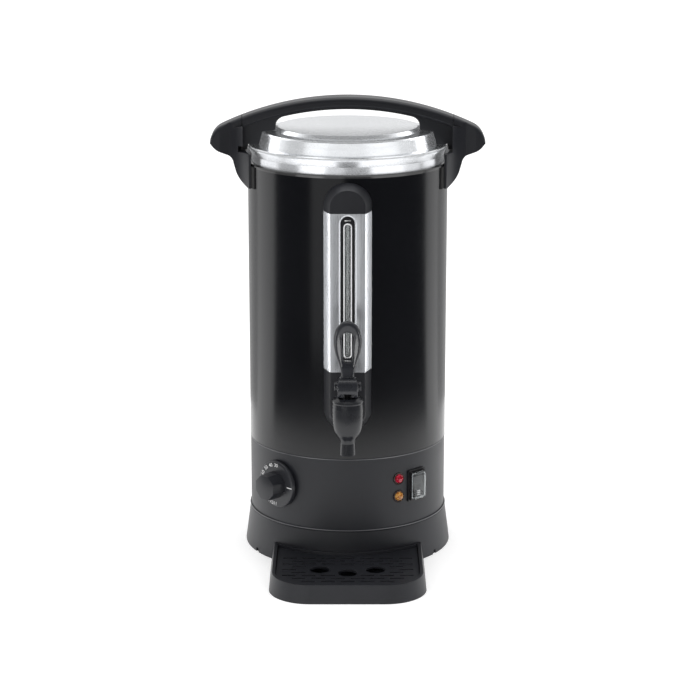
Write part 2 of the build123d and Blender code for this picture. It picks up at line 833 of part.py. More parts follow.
def lever_loop():
    """Neck and finger loop of the lever: a flat ring with an egg-shaped hole, rounded all round."""
    with BuildPart() as loop:
        with BuildSketch(front_plane(tap_y - lever_t / 2)):
            with BuildLine():
                EllipticalCenterArc((0, loop_wide_z), loop_half_w, lever_top_z - loop_wide_z, arc_size=180)
                flank = TangentArc((loop_half_w, loop_wide_z), shoulder, tangent=(0, -1))
                waist = TangentArc(flank @ 1, neck, tangent=flank % 1)
                flare = TangentArc(waist @ 1, hub_root, tangent=waist % 1)
                mirror(flank, about=Plane.YZ)
                mirror(waist, about=Plane.YZ)
                mirror(flare, about=Plane.YZ)
                Line(flare @ 1, (-hub_root[0], hub_root[1]))
            make_face()
            with BuildSketch(mode=Mode.SUBTRACT):
                with Locations((0, hole_top_z - hole_top_r)):
                    Circle(hole_top_r)
                with Locations((0, hole_low_z + hole_low_r)):
                    Circle(hole_low_r)
                make_hull()
        extrude(amount=-lever_t)
        faces = loop.faces().filter_by(Axis.Y)
        rims = faces.edges().filter_by_position(Axis.Z, hub_root[1] + 1, lever_top_z + 1)
        fillet(rims, lever_round)
    return loop.part


with BuildPart() as tap_lever:
    # Round heel that rolls on the bonnet
    with BuildSketch(Plane.YZ):
        with Locations((tap_y - cam_offset, pin_z)):
            Circle(cam_r)
    extrude(amount=hub_half_w, both=True)
    with BuildSketch(Plane.YZ):
        with Locations((tap_y, pin_z)):
            Circle(ear_r)
    extrude(amount=ear_half_w, both=True)
    add(lever_loop())
    # Fork that straddles the stem: open below and behind, with a wide mouth low in front
    with BuildSketch(front_plane(tap_y - fork_front)):
        with Locations((0, fork_top_z)):
            Rectangle(2 * fork_half_w, 30, align=(Align.CENTER, Align.MAX))
    extrude(amount=-30, mode=Mode.SUBTRACT)
    with BuildSketch(front_plane(tap_y - 30)):
        with Locations((0, mouth_top_z)):
            Rectangle(2 * mouth_half_w, 30, align=(Align.CENTER, Align.MAX))
    extrude(amount=fork_front - 30, mode=Mode.SUBTRACT)
    with BuildSketch(Plane.YZ):
        with Locations((tap_y, pin_z)):
            Circle(pin_r + 0.05)
    extrude(amount=ear_half_w + 1, both=True, mode=Mode.SUBTRACT)
tap_lever.part.label = "tap_lever"
export_step(tap_lever.part, "parts/tap_lever.step")

# ---------------------------------------------------------------- lid

mouth_r = collar_r - tank_wall
seal_lip_z = rim_z - 6

with BuildPart() as lid_seal:
    with BuildSketch(Plane.XZ):
        with BuildLine():
            Polyline(
                (lid_skirt_r - 0.8, rim_z),
                (mouth_r - 3.5, seal_lip_z),
                (mouth_r - 0.5, seal_lip_z),
                (mouth_r - 0.5, rim_z),
                (lid_flange_r, rim_z),
                (lid_flange_r, rim_z + seal_t),
                (lid_skirt_r - 0.8, rim_z + seal_t),
                close=True,
            )
        make_face()
    revolve(axis=Axis.Z)
lid_seal.part.label = "lid_seal"
export_step(lid_seal.part, "parts/lid_seal.step")

flange_z = rim_z + seal_t
flange_top_z = flange_z + lid_sheet


def lid_dome():
    """The lid's outer form, solid: sloping skirt, shoulder, shallow annulus and flat boss."""
    with BuildPart() as dome:
        with BuildSketch(Plane.XZ) as section:
            with BuildLine():
                Polyline(
                    (0, flange_z),
                    (lid_skirt_r, flange_z),
                    (lid_shoulder_r, lid_shoulder_z),
                    (boss_foot_r, boss_foot_z),
                    (boss_r, boss_z),
                    (0, boss_z),
                    close=True,
                )
            make_face()
            fillet(section.vertices().group_by(Axis.Y)[1], 2.5)
            fillet(section.vertices().group_by(Axis.Y)[-1].sort_by(Axis.X)[-1], 1.5)
        revolve(axis=Axis.Z)
    return dome.part


lid_screw_x = 86.0
lid_screw_r = 1.8
lid_screw_head_r = 4.0
lid_screw_head_t = 2.4

with BuildPart() as lid_pan:
    add(lid_dome())
    offset(amount=-lid_sheet, openings=lid_pan.faces().sort_by(Axis.Z)[0])
    with BuildSketch(Plane.XY.offset(flange_z)):
        Circle(lid_flange_r)
        Circle(lid_skirt_r - lid_sheet, mode=Mode.SUBTRACT)
    extrude(amount=lid_sheet)
    with BuildSketch(Plane.XY.offset(flange_z)):
        with GridLocations(2 * lid_screw_x, 0, 2, 1):
            Circle(lid_screw_r + 0.2)
    extrude(amount=40, mode=Mode.SUBTRACT)
lid_pan.part.label = "lid_pan"
export_step(lid_pan.part, "parts/lid_pan.step")

arch_reach = 125.0       # drawn this far out, then cut back to its end
crown_depth = 6.0        # the legs and the rib start this deep inside the strap
lock_tongue_w = 16.0
tongue_drop = 4.2
rib_r = arch_r - strap_t - rib_depth


def finger_gap():
    """Side view of the space under the arch: its roof follows the rib, with two round corners."""
    with BuildSketch() as gap:
        with BuildLine():
            roof = ThreePointArc((-arch_leg_x, arch_z(rib_r, arch_leg_x)), (0, arch_z(rib_r, 0)),
                                 (arch_leg_x, arch_z(rib_r, arch_leg_x)))
            Polyline(roof @ 0, (-arch_leg_x, rim_z), (arch_leg_x, rim_z), roof @ 1)
        make_face()
        fillet(gap.vertices().group_by(Axis.Y)[-1], leg_corner_r)
    return gap.sketch


with BuildPart() as lid_handle:
    with BuildSketch(Plane.XZ):
        with BuildLine():
            top = ThreePointArc((-arch_reach, arch_z(arch_r, arch_reach)), (0, arch_z(arch_r, 0)),
                                (arch_reach, arch_z(arch_r, arch_reach)))
            under = ThreePointArc((-arch_reach, arch_z(arch_r - strap_t, arch_reach)),
                                  (0, arch_z(arch_r - strap_t, 0)),
                                  (arch_reach, arch_z(arch_r - strap_t, arch_reach)))
            Line(top @ 0, under @ 0)
            Line(top @ 1, under @ 1)
        make_face()
    extrude(amount=strap_w / 2, both=True)
    fillet(lid_handle.edges().filter_by(GeomType.CIRCLE).group_by(SortBy.RADIUS)[-1], 5)
    fillet(lid_handle.edges().filter_by(GeomType.CIRCLE).group_by(SortBy.RADIUS)[0], 2.5)
    # Rib under the strap, which runs down at each side into a leg
    with BuildSketch(Plane.XZ) as leg_profile:
        with BuildLine():
            crown = ThreePointArc((-arch_reach, arch_z(arch_r - crown_depth, arch_reach)),
                                  (0, arch_z(arch_r - crown_depth, 0)),
                                  (arch_reach, arch_z(arch_r - crown_depth, arch_reach)))
            Line(crown @ 0, (-arch_reach, rim_z + 0.5))
            Line((-arch_reach, rim_z + 0.5), (arch_reach, rim_z + 0.5))
            Line((arch_reach, rim_z + 0.5), crown @ 1)
        make_face()
        add(finger_gap(), mode=Mode.SUBTRACT)
    extrude(amount=rib_w / 2, both=True)
    add(column(arch_end_r, 0, 600), mode=Mode.INTERSECT)
    # The legs stand on the lid
    add(lid_dome(), mode=Mode.SUBTRACT)
    add(column(rim_r + 0.5, rim_z - 1, flange_top_z), mode=Mode.SUBTRACT)
    # Lock tongues that hang outside the tank's rim
    with BuildSketch(Plane.XY.offset(rim_z - tongue_drop)):
        Circle(arch_end_r)
        Circle(rim_r + 1.3, mode=Mode.SUBTRACT)
        Rectangle(300, lock_tongue_w, mode=Mode.INTERSECT)
    extrude(amount=tongue_drop + 0.5)
    with BuildSketch(Plane.XY.offset(flange_z)):
        with GridLocations(2 * lid_screw_x, 0, 2, 1):
            Circle(lid_screw_r)
    extrude(amount=27, mode=Mode.SUBTRACT)
lid_handle.part.label = "lid_handle"
export_step(lid_handle.part, "parts/lid_handle.step")

lid_screw_head_z = lid_shoulder_z - 1

with BuildPart() as lid_screws:
    with BuildSketch(Plane.XY.offset(lid_screw_head_z)):
        with GridLocations(2 * lid_screw_x, 0, 2, 1):
            RegularPolygon(lid_screw_head_r, 6)
    extrude(amount=-lid_screw_head_t)
    with BuildSketch(Plane.XY.offset(lid_screw_head_z)):
        with GridLocations(2 * lid_screw_x, 0, 2, 1):
            Circle(lid_screw_r)
    extrude(amount=12)
lid_screws.part.label = "lid_screws"
export_step(lid_screws.part, "parts/lid_screws.step")

# ---------------------------------------------------------------- side brackets

nose_z = 455.3
bracket_in_x = 105.0     # drawn from here, then cut back to the lid's lock
crest_x = 138.0          # the strap's line turns down from here to the nose
lining_x = 136.0
lock_slot_r = 121.0
lock_slot_h = 6.5
heel_tip = (150.2, 456.3)
heel_mid = (147.0, 451.6)
heel_end = (141.0, 447.0)
throat_start = (133.0, 443.8)
throat_mid = (127.7, 440.6)
throat_end = (124.9, 434.5)
toe_start = (122.2, 425.5)
toe_mid = (117.4, 417.2)
toe_end = (109.0, 410.2)
foot_half_w = 38.0
foot_edge_t = 2.3        # thickness of the foot at its ends
foot_neck = (129.0, rib_w / 2)
foot_flare = (115.0, 23.0)
pad_low_z = 411.0
pad_half_w = 46.0


def on_arch(radius, x):
    """Point on an arc of the arch handle's family, in the side view."""
    return (x, arch_z(radius, x))


with BuildPart() as bracket_right:
    # The strap's line runs on from the lid and turns down at the nose
    with BuildSketch(Plane.XZ):
        with BuildLine():
            crest = ThreePointArc(on_arch(arch_r, bracket_in_x), on_arch(arch_r, 122),
                                  on_arch(arch_r, crest_x))
            nose = TangentArc(crest @ 1, (bracket_end_x, nose_z), tangent=crest % 1)
            Line(nose @ 1, (bracket_end_x - strap_t, nose_z - 5))
            Line((bracket_end_x - strap_t, nose_z - 5), on_arch(arch_r - strap_t, lining_x))
            lining = ThreePointArc(on_arch(arch_r - strap_t, lining_x), on_arch(arch_r - strap_t, 120),
                                   on_arch(arch_r - strap_t, bracket_in_x))
            Line(lining @ 1, crest @ 0)
        make_face()
    extrude(amount=strap_w / 2, both=True)
    outer_edges = bracket_right.edges().filter_by(GeomType.CIRCLE).group_by(SortBy.RADIUS)
    fillet(outer_edges[-1] + outer_edges[0], 4.5)
    # Arm and foot below it: side view first, then cut to the plan
    with BuildSketch(Plane.XZ):
        with BuildLine():
            Polyline((100, 480), (lining_x, 470), (bracket_end_x - 4, 462), heel_tip)
            ThreePointArc(heel_tip, heel_mid, heel_end)
            Line(heel_end, throat_start)
            ThreePointArc(throat_start, throat_mid, throat_end)
            Line(throat_end, toe_start)
            ThreePointArc(toe_start, toe_mid, toe_end)
            Polyline(toe_end, (100, toe_end[1]), (100, 480))
        make_face()
    extrude(amount=60, both=True)
    # Seen from above, the arm is narrow and flares where it meets the body
    with BuildSketch(Plane.XY.offset(380)):
        with BuildLine():
            foot_edge_x = sqrt((shell_r + pad_t + foot_edge_t) ** 2 - foot_half_w**2)
            flare = ThreePointArc((foot_edge_x, foot_half_w), foot_flare, foot_neck)
            Polyline(flare @ 1, (140, strap_w / 2), (170, strap_w / 2), (170, 0), (90, 0),
                     (90, foot_half_w), flare @ 0)
        make_face()
        mirror(about=Plane.XZ)
    extrude(amount=150, mode=Mode.INTERSECT)
    # Seat against the pad, step under the lid's lock, lock slot open to the back, screw holes
    add(column(shell_r + pad_t, 0, bracket_seat_z), mode=Mode.SUBTRACT)
    add(column(arch_end_r + bracket_gap, bracket_seat_z, 600), mode=Mode.SUBTRACT)
    with BuildSketch(Plane.XY.offset(bracket_seat_z)):
        Circle(lock_slot_r)
        Rectangle(400, 200, align=(Align.CENTER, Align.MAX), mode=Mode.SUBTRACT)
    extrude(amount=lock_slot_h, mode=Mode.SUBTRACT)
    for z in bracket_screw_z:
        with BuildSketch(radial_plane(90, z, shell_r)):
            Circle(bracket_screw_r)
        extrude(amount=6.5, mode=Mode.SUBTRACT)
bracket_right.part.label = "bracket_right"
export_step(bracket_right.part, "parts/bracket_right.step")

with BuildPart() as bracket_left:
    add(bracket_right.part.rotate(Axis.Z, 180))
bracket_left.part.label = "bracket_left"
export_step(bracket_left.part, "parts/bracket_left.step")

with BuildPart() as bracket_pads:
    with BuildSketch(Plane.XY.offset(pad_low_z)):
        Circle(shell_r + pad_t)
        Circle(shell_r, mode=Mode.SUBTRACT)
        Rectangle(400, 2 * pad_half_w, mode=Mode.INTERSECT)
    extrude(amount=shell_top_z - shell_edge - pad_low_z)
    for side in (-90, 90):
        for z in bracket_screw_z:
            with BuildSketch(radial_plane(side, z, shell_r - 2)):
                Circle(bracket_screw_r)
            extrude(amount=6, mode=Mode.SUBTRACT)
bracket_pads.part.label = "bracket_pads"
export_step(bracket_pads.part, "parts/bracket_pads.step")

with BuildPart() as bracket_screws:
    for side in (-90, 90):
        for z in bracket_screw_z:
            with BuildSketch(radial_plane(side, z, shell_r - shell_wall - 0.1)):
                RegularPolygon(bracket_screw_head_r, 6)
            extrude(amount=-bracket_screw_head_t)
            with BuildSketch(radial_plane(side, z, shell_r - shell_wall - 0.1)):
                Circle(bracket_screw_r)
            extrude(amount=7)
bracket_screws.part.label = "bracket_screws"
export_step(bracket_screws.part, "parts/bracket_screws.step")

# ---------------------------------------------------------------- controls

knob_back_r = base_r + knob_gap
shaft_in_knob = 14.0

with BuildPart() as knob:
    with BuildSketch(radial_plane(knob_angle, knob_z, knob_back_r)):
        Circle(knob_r)
    extrude(amount=knob_disc_t)
    chamfer(knob.edges().filter_by(GeomType.CIRCLE), 1)
    with BuildSketch(radial_plane(knob_angle, knob_z, knob_back_r + knob_disc_t)):
        RegularPolygon(grip_w / 2, 8, major_radius=False)
    extrude(amount=grip_h, taper=1.5)
    with BuildSketch(radial_plane(knob_angle, knob_z, knob_back_r)):
        Circle(shaft_r)
    extrude(amount=shaft_in_knob, mode=Mode.SUBTRACT)
knob.part.label = "knob"
export_step(knob.part, "parts/knob.step")

with BuildPart() as thermostat_shaft:
    with BuildSketch(radial_plane(knob_angle, knob_z, thermostat_face_r + 4)):
        Circle(shaft_r)
    extrude(amount=knob_back_r + shaft_in_knob - thermostat_face_r - 4)
thermostat_shaft.part.label = "thermostat_shaft"
export_step(thermostat_shaft.part, "parts/thermostat_shaft.step")

lamp_rim_t = 1.6
lamp_dome_r = lamp_r - 0.8
lamp_dome_h = 3.4
lamp_stem_len = 16.0


def lamp(z):
    """Indicator lamp: domed lens in front of the housing, stem behind it."""
    with BuildPart() as lens:
        with BuildSketch(radial_plane(lamp_angle, z, base_r)):
            Circle(lamp_r)
        extrude(amount=lamp_rim_t)
        with BuildSketch(radial_plane(lamp_angle, z, base_r + lamp_rim_t)):
            Circle(lamp_dome_r)
        extrude(amount=lamp_dome_h, taper=18)
        with BuildSketch(radial_plane(lamp_angle, z, base_r)):
            Circle(lamp_stem_r)
        extrude(amount=-lamp_stem_len)
    return lens.part


with BuildPart() as lamp_red:
    add(lamp(lamp_z + lamp_pitch / 2))
lamp_red.part.label = "lamp_red"
export_step(lamp_red.part, "parts/lamp_red.step")

with BuildPart() as lamp_amber:
    add(lamp(lamp_z - lamp_pitch / 2))
lamp_amber.part.label = "lamp_amber"
export_step(lamp_amber.part, "parts/lamp_amber.step")

with BuildPart() as lamp_clips:
    for side in (-0.5, 0.5):
        with BuildSketch(radial_plane(lamp_angle, lamp_z + side * lamp_pitch, base_r - base_wall - 0.3)):
            RegularPolygon(8, 6)
            Circle(lamp_stem_r, mode=Mode.SUBTRACT)
        extrude(amount=-3)
lamp_clips.part.label = "lamp_clips"
export_step(lamp_clips.part, "parts/lamp_clips.step")

switch_face_r = base_r + 1.6
switch_depth = 24.0
switch_window_w = 15.5
switch_window_h = 25.0
boot_w = 19.0
boot_h = 30.0
boot_collar = 2.4
boot_depth = 6.5
boot_wall = 1.0

rocker_pivot_r = switch_face_r - 4
rocker_face = radial_plane(switch_angle, switch_z, rocker_pivot_r)
rocker_front = rocker_face.z_dir * cos(radians(rocker_tilt)) + Vector(0, 0, sin(radians(rocker_tilt)))
rocker_side = Plane(origin=rocker_face.origin, x_dir=rocker_front, z_dir=-rocker_face.x_dir)
axle_half_w = switch_window_w / 2 + 1.2

with BuildPart() as switch_frame:
    with BuildSketch(radial_plane(switch_angle, switch_z, switch_face_r)) as bezel:
        Rectangle(switch_w, switch_h)
        fillet(bezel.vertices(), 2)
    extrude(amount=-3)
    add(column(base_r, 0, 200), mode=Mode.SUBTRACT)
    with BuildSketch(radial_plane(switch_angle, switch_z, switch_face_r)):
        Rectangle(boot_w + 2, boot_h + 2)
    extrude(amount=boot_collar)
    with BuildSketch(radial_plane(switch_angle, switch_z, switch_face_r)):
        Rectangle(switch_hole_w - 0.2, switch_hole_h - 0.2)
    extrude(amount=-switch_depth)
    with BuildSketch(radial_plane(switch_angle, switch_z, switch_face_r + boot_collar)):
        Rectangle(switch_window_w, switch_window_h)
    extrude(amount=-boot_collar - 14, mode=Mode.SUBTRACT)
    with BuildSketch(radial_plane(switch_angle, switch_z, switch_face_r - switch_depth)):
        with GridLocations(0, 8, 1, 3):
            Rectangle(tab_w, tab_t)
    extrude(amount=-tab_len)
    # Sockets for the rocker's axle
    with BuildSketch(rocker_side):
        Circle(rocker_axle_r + 0.1)
    extrude(amount=axle_half_w + 0.2, both=True, mode=Mode.SUBTRACT)
switch_frame.part.label = "switch_frame"
export_step(switch_frame.part, "parts/switch_frame.step")

with BuildPart() as switch_boot:
    # Clear splash cover over the rocker
    boot_plane = radial_plane(switch_angle, switch_z, switch_face_r + boot_collar)
    with BuildSketch(boot_plane) as boot_foot:
        Rectangle(boot_w, boot_h)
        fillet(boot_foot.vertices(), 3)
    extrude(amount=boot_depth - boot_collar, taper=6)
    with BuildSketch(boot_plane) as boot_inside:
        Rectangle(boot_w - 2 * boot_wall, boot_h - 2 * boot_wall)
        fillet(boot_inside.vertices(), 2)
    extrude(amount=boot_depth - boot_collar - boot_wall, taper=6, mode=Mode.SUBTRACT)
switch_boot.part.label = "switch_boot"
export_step(switch_boot.part, "parts/switch_boot.step")

rocker_horn = (6.8, 10.6)
rocker_waist_x = 5.6
rocker_heel = (-5.0, 6.0)

with BuildPart() as rocker:
    with BuildSketch(rocker_side) as rocker_profile:
        with BuildLine():
            Polyline(rocker_heel, rocker_horn, (rocker_waist_x, 0), (rocker_horn[0], -rocker_horn[1]),
                     (rocker_heel[0], -rocker_heel[1]), close=True)
        make_face()
        fillet(rocker_profile.vertices().group_by(Axis.X)[-1], 1.2)
    extrude(amount=switch_window_w / 2 - 0.6, both=True)
    with BuildSketch(rocker_side):
        Circle(rocker_axle_r)
    extrude(amount=axle_half_w, both=True)
rocker.part.label = "rocker"
export_step(rocker.part, "parts/rocker.step")

# ---------------------------------------------------------------- drip tray


def tray_outline(z, half_w, front_y, corner_r):
    """Plan of the tray at a height: straight front and sides, and two large corners."""
    back_y = -40
    with BuildSketch(Plane.XY.offset(z)) as plan:
        with BuildLine():
            FilletPolyline((-half_w, back_y), (-half_w, front_y), (half_w, front_y), (half_w, back_y),
                           radius=corner_r)
            Line((-half_w, back_y), (half_w, back_y))
        make_face()
    return plan.sketch


def skirt_room(gap):
    """The flared skirt's solid form with a gap round it, to cut the tray's back to its curve."""
    slope = (skirt_foot_r - skirt_top_r) / skirt_h
    with BuildPart() as room:
        with BuildSketch(Plane.XZ):
            with BuildLine():
                Polyline(
                    (0, -5),
                    (skirt_foot_r + gap + 5 * slope, -5),
                    (skirt_top_r + gap, skirt_h),
                    (0, skirt_h),
                    close=True,
                )
            make_face()
        revolve(axis=Axis.Z)
    return room.part


def tray_hollow(low, half_w, front_y, corner_r, gap):
    """Room inside the tray from a height up, open at the top."""
    with BuildPart() as hollow:
        extrude(tray_outline(low, half_w, front_y, corner_r), amount=tray_h)
        add(skirt_room(gap), mode=Mode.SUBTRACT)
    return hollow.part


tray_front_wall = 8.5
tray_step = 2.6          # ledge that the grille rests on
back_wall = 2.4
tongue_t = 3.0

with BuildPart() as drip_tray:
    extrude(tray_outline(0, tray_half_w, tray_front_y, tray_corner_r), amount=tray_h, taper=tray_draft)
    add(skirt_room(tray_gap), mode=Mode.SUBTRACT)
    add(
        tray_hollow(tray_floor, tray_inner_half_w - tray_step,
                    tray_front_y + tray_front_wall + 2 * tray_step,
                    tray_corner_r - 14, tray_gap + back_wall + tray_step),
        mode=Mode.SUBTRACT,
    )
    add(
        tray_hollow(grille_z, tray_inner_half_w, tray_front_y + tray_front_wall,
                    tray_corner_r - 9, tray_gap + back_wall),
        mode=Mode.SUBTRACT,
    )
    # Tongue that slides into the skirt's front notch
    with BuildSketch(Plane.XY.offset(1)):
        with Locations((0, -skirt_foot_r + 12)):
            Rectangle(tongue_w, 18, align=(Align.CENTER, Align.MAX))
    extrude(amount=tongue_t)
drip_tray.part.label = "drip_tray"
export_step(drip_tray.part, "parts/drip_tray.step")

drip_holes = ((-30.0, -162.5), (0.0, -172.5), (30.0, -162.5))
grille_gap = 0.5
slot_len = 15.0
slot_wide = 2.6
slot_pitch = 21.0
slot_rows = [-126.0 - 9.0 * row for row in range(10)]


def slot_fits(x, y):
    """A slot stays inside the grille's border and off its three round holes."""
    half = slot_len / 2
    if (abs(x) + half) ** 2 + y**2 < (skirt_foot_r + 8) ** 2:
        return False
    side_room = tray_inner_half_w - 6
    if y < tray_front_y + tray_corner_r:
        side_room = side_room - (tray_front_y + tray_corner_r - y) ** 2 / (1.5 * tray_corner_r)
    if abs(x) + half > side_room:
        return False
    return all(abs(x - hole_x) > drip_hole_r + half + 2 or abs(y - hole_y) > drip_hole_r + 3
               for hole_x, hole_y in drip_holes)


with BuildPart() as drip_grille:
    extrude(tray_outline(grille_z, tray_inner_half_w - grille_gap,
                         tray_front_y + tray_front_wall + grille_gap, tray_corner_r - 9 - grille_gap),
            amount=grille_t)
    add(skirt_room(tray_gap + back_wall + grille_gap), mode=Mode.SUBTRACT)
    with BuildSketch(Plane.XY.offset(grille_z)):
        with Locations(*drip_holes):
            Circle(drip_hole_r)
        for row, y in enumerate(slot_rows):
            for place in range(-4, 5):
                x = slot_pitch * (place + 0.5 * (row % 2))
                if slot_fits(x, y):
                    with Locations((x, y)):
                        Rectangle(slot_len, slot_wide)
    extrude(amount=grille_t, mode=Mode.SUBTRACT)
drip_grille.part.label = "drip_grille"
export_step(drip_grille.part, "parts/drip_grille.step")
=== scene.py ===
"""Looks of the hot water urn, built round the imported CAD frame. Lengths in the frame are metres;
the sizes named below are millimetres and pass through mm()."""

import json
import math

import bmesh
import bpy
from mathutils import Matrix, Vector

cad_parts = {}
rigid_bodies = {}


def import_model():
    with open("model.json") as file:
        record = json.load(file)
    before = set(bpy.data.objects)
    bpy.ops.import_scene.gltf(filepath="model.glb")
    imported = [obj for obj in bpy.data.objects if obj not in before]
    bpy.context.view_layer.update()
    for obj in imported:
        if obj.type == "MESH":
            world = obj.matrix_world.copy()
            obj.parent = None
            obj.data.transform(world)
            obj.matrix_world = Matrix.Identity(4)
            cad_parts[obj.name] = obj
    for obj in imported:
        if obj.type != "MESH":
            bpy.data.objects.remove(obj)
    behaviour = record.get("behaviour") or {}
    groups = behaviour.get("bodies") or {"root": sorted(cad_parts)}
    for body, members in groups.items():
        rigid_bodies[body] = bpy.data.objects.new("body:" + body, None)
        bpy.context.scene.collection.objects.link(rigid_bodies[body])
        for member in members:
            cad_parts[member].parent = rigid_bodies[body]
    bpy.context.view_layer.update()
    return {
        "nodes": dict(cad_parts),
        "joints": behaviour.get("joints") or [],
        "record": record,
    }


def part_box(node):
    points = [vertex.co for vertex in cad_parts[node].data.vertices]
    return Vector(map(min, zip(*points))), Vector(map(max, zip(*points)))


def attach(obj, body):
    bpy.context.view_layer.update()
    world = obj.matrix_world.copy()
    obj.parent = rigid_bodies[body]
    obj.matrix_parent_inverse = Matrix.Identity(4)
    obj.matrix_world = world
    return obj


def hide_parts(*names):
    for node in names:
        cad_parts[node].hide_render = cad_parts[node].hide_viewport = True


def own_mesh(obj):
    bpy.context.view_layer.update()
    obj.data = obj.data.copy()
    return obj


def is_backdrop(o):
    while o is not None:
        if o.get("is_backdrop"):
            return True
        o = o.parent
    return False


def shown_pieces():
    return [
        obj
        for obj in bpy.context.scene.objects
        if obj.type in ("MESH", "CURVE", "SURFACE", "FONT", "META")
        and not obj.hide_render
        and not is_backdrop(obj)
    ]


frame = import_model()

# ---------------------------------------------------------------- places that the frame gives


def mm(*values):
    """Millimetres as metres: one number, or a vector of three."""
    if len(values) == 1:
        return values[0] / 1000
    return Vector(values) / 1000


def node_box(node):
    """Low and high corner of a CAD node, in millimetres."""
    low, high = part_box(node)
    return low * 1000, high * 1000


def joint(name):
    """A joint of the frame by its name."""
    return next(j for j in frame["joints"] if j["name"] == name)


def facing(x, y):
    """How far a direction or place lies round from the front, in degrees."""
    return math.degrees(math.atan2(x, -y))


GUARD_LOW, GUARD_HIGH = node_box("gauge_guard")
INSERT_LOW, INSERT_HIGH = node_box("gauge_insert")
BASE_R = node_box("base_housing")[1].x

KNOB_ANGLE = facing(*joint("knob_turn")["axis"][:2])
KNOB_Z = joint("knob_turn")["pos_m"][2] * 1000
SWITCH_ANGLE = facing(*joint("rocker_tip")["pos_m"][:2])
SWITCH_Z = joint("rocker_tip")["pos_m"][2] * 1000


def radial_frame(angle, z, radius):
    """Matrix of a plane that faces outward at an angle round from the front: x right, y up."""
    turn = math.radians(angle)
    outward = Vector((math.sin(turn), -math.cos(turn), 0))
    right = Vector((math.cos(turn), math.sin(turn), 0))
    place = Matrix((right, Vector((0, 0, 1)), outward)).transposed().to_4x4()
    place.translation = mm(radius * outward.x, radius * outward.y, z)
    return place


# ---------------------------------------------------------------- materials

# Scales of the noise that each kind of finish uses, in waves per metre
PLASTIC_PATCHES, PAINT_PATCHES, ORANGE_PEEL = 14, 6, 700
LATHE_LINES, LATHE_BANDS = 2600, 260
LONG_LINES, LONG_BANDS = 2400, 320
RUBBER_GRAIN, CLEAR_WAVES = 500, 60
# Cells of the lamp lenses' painted glint, and the waves of their bump
LENS_GLINT_CELLS, LENS_WAVES = 420, 300
STAGE_PATCHES = 1.5
NOISE_LOW, NOISE_HIGH = 0.3, 0.7     # middle range of a noise texture, which a finish spreads out


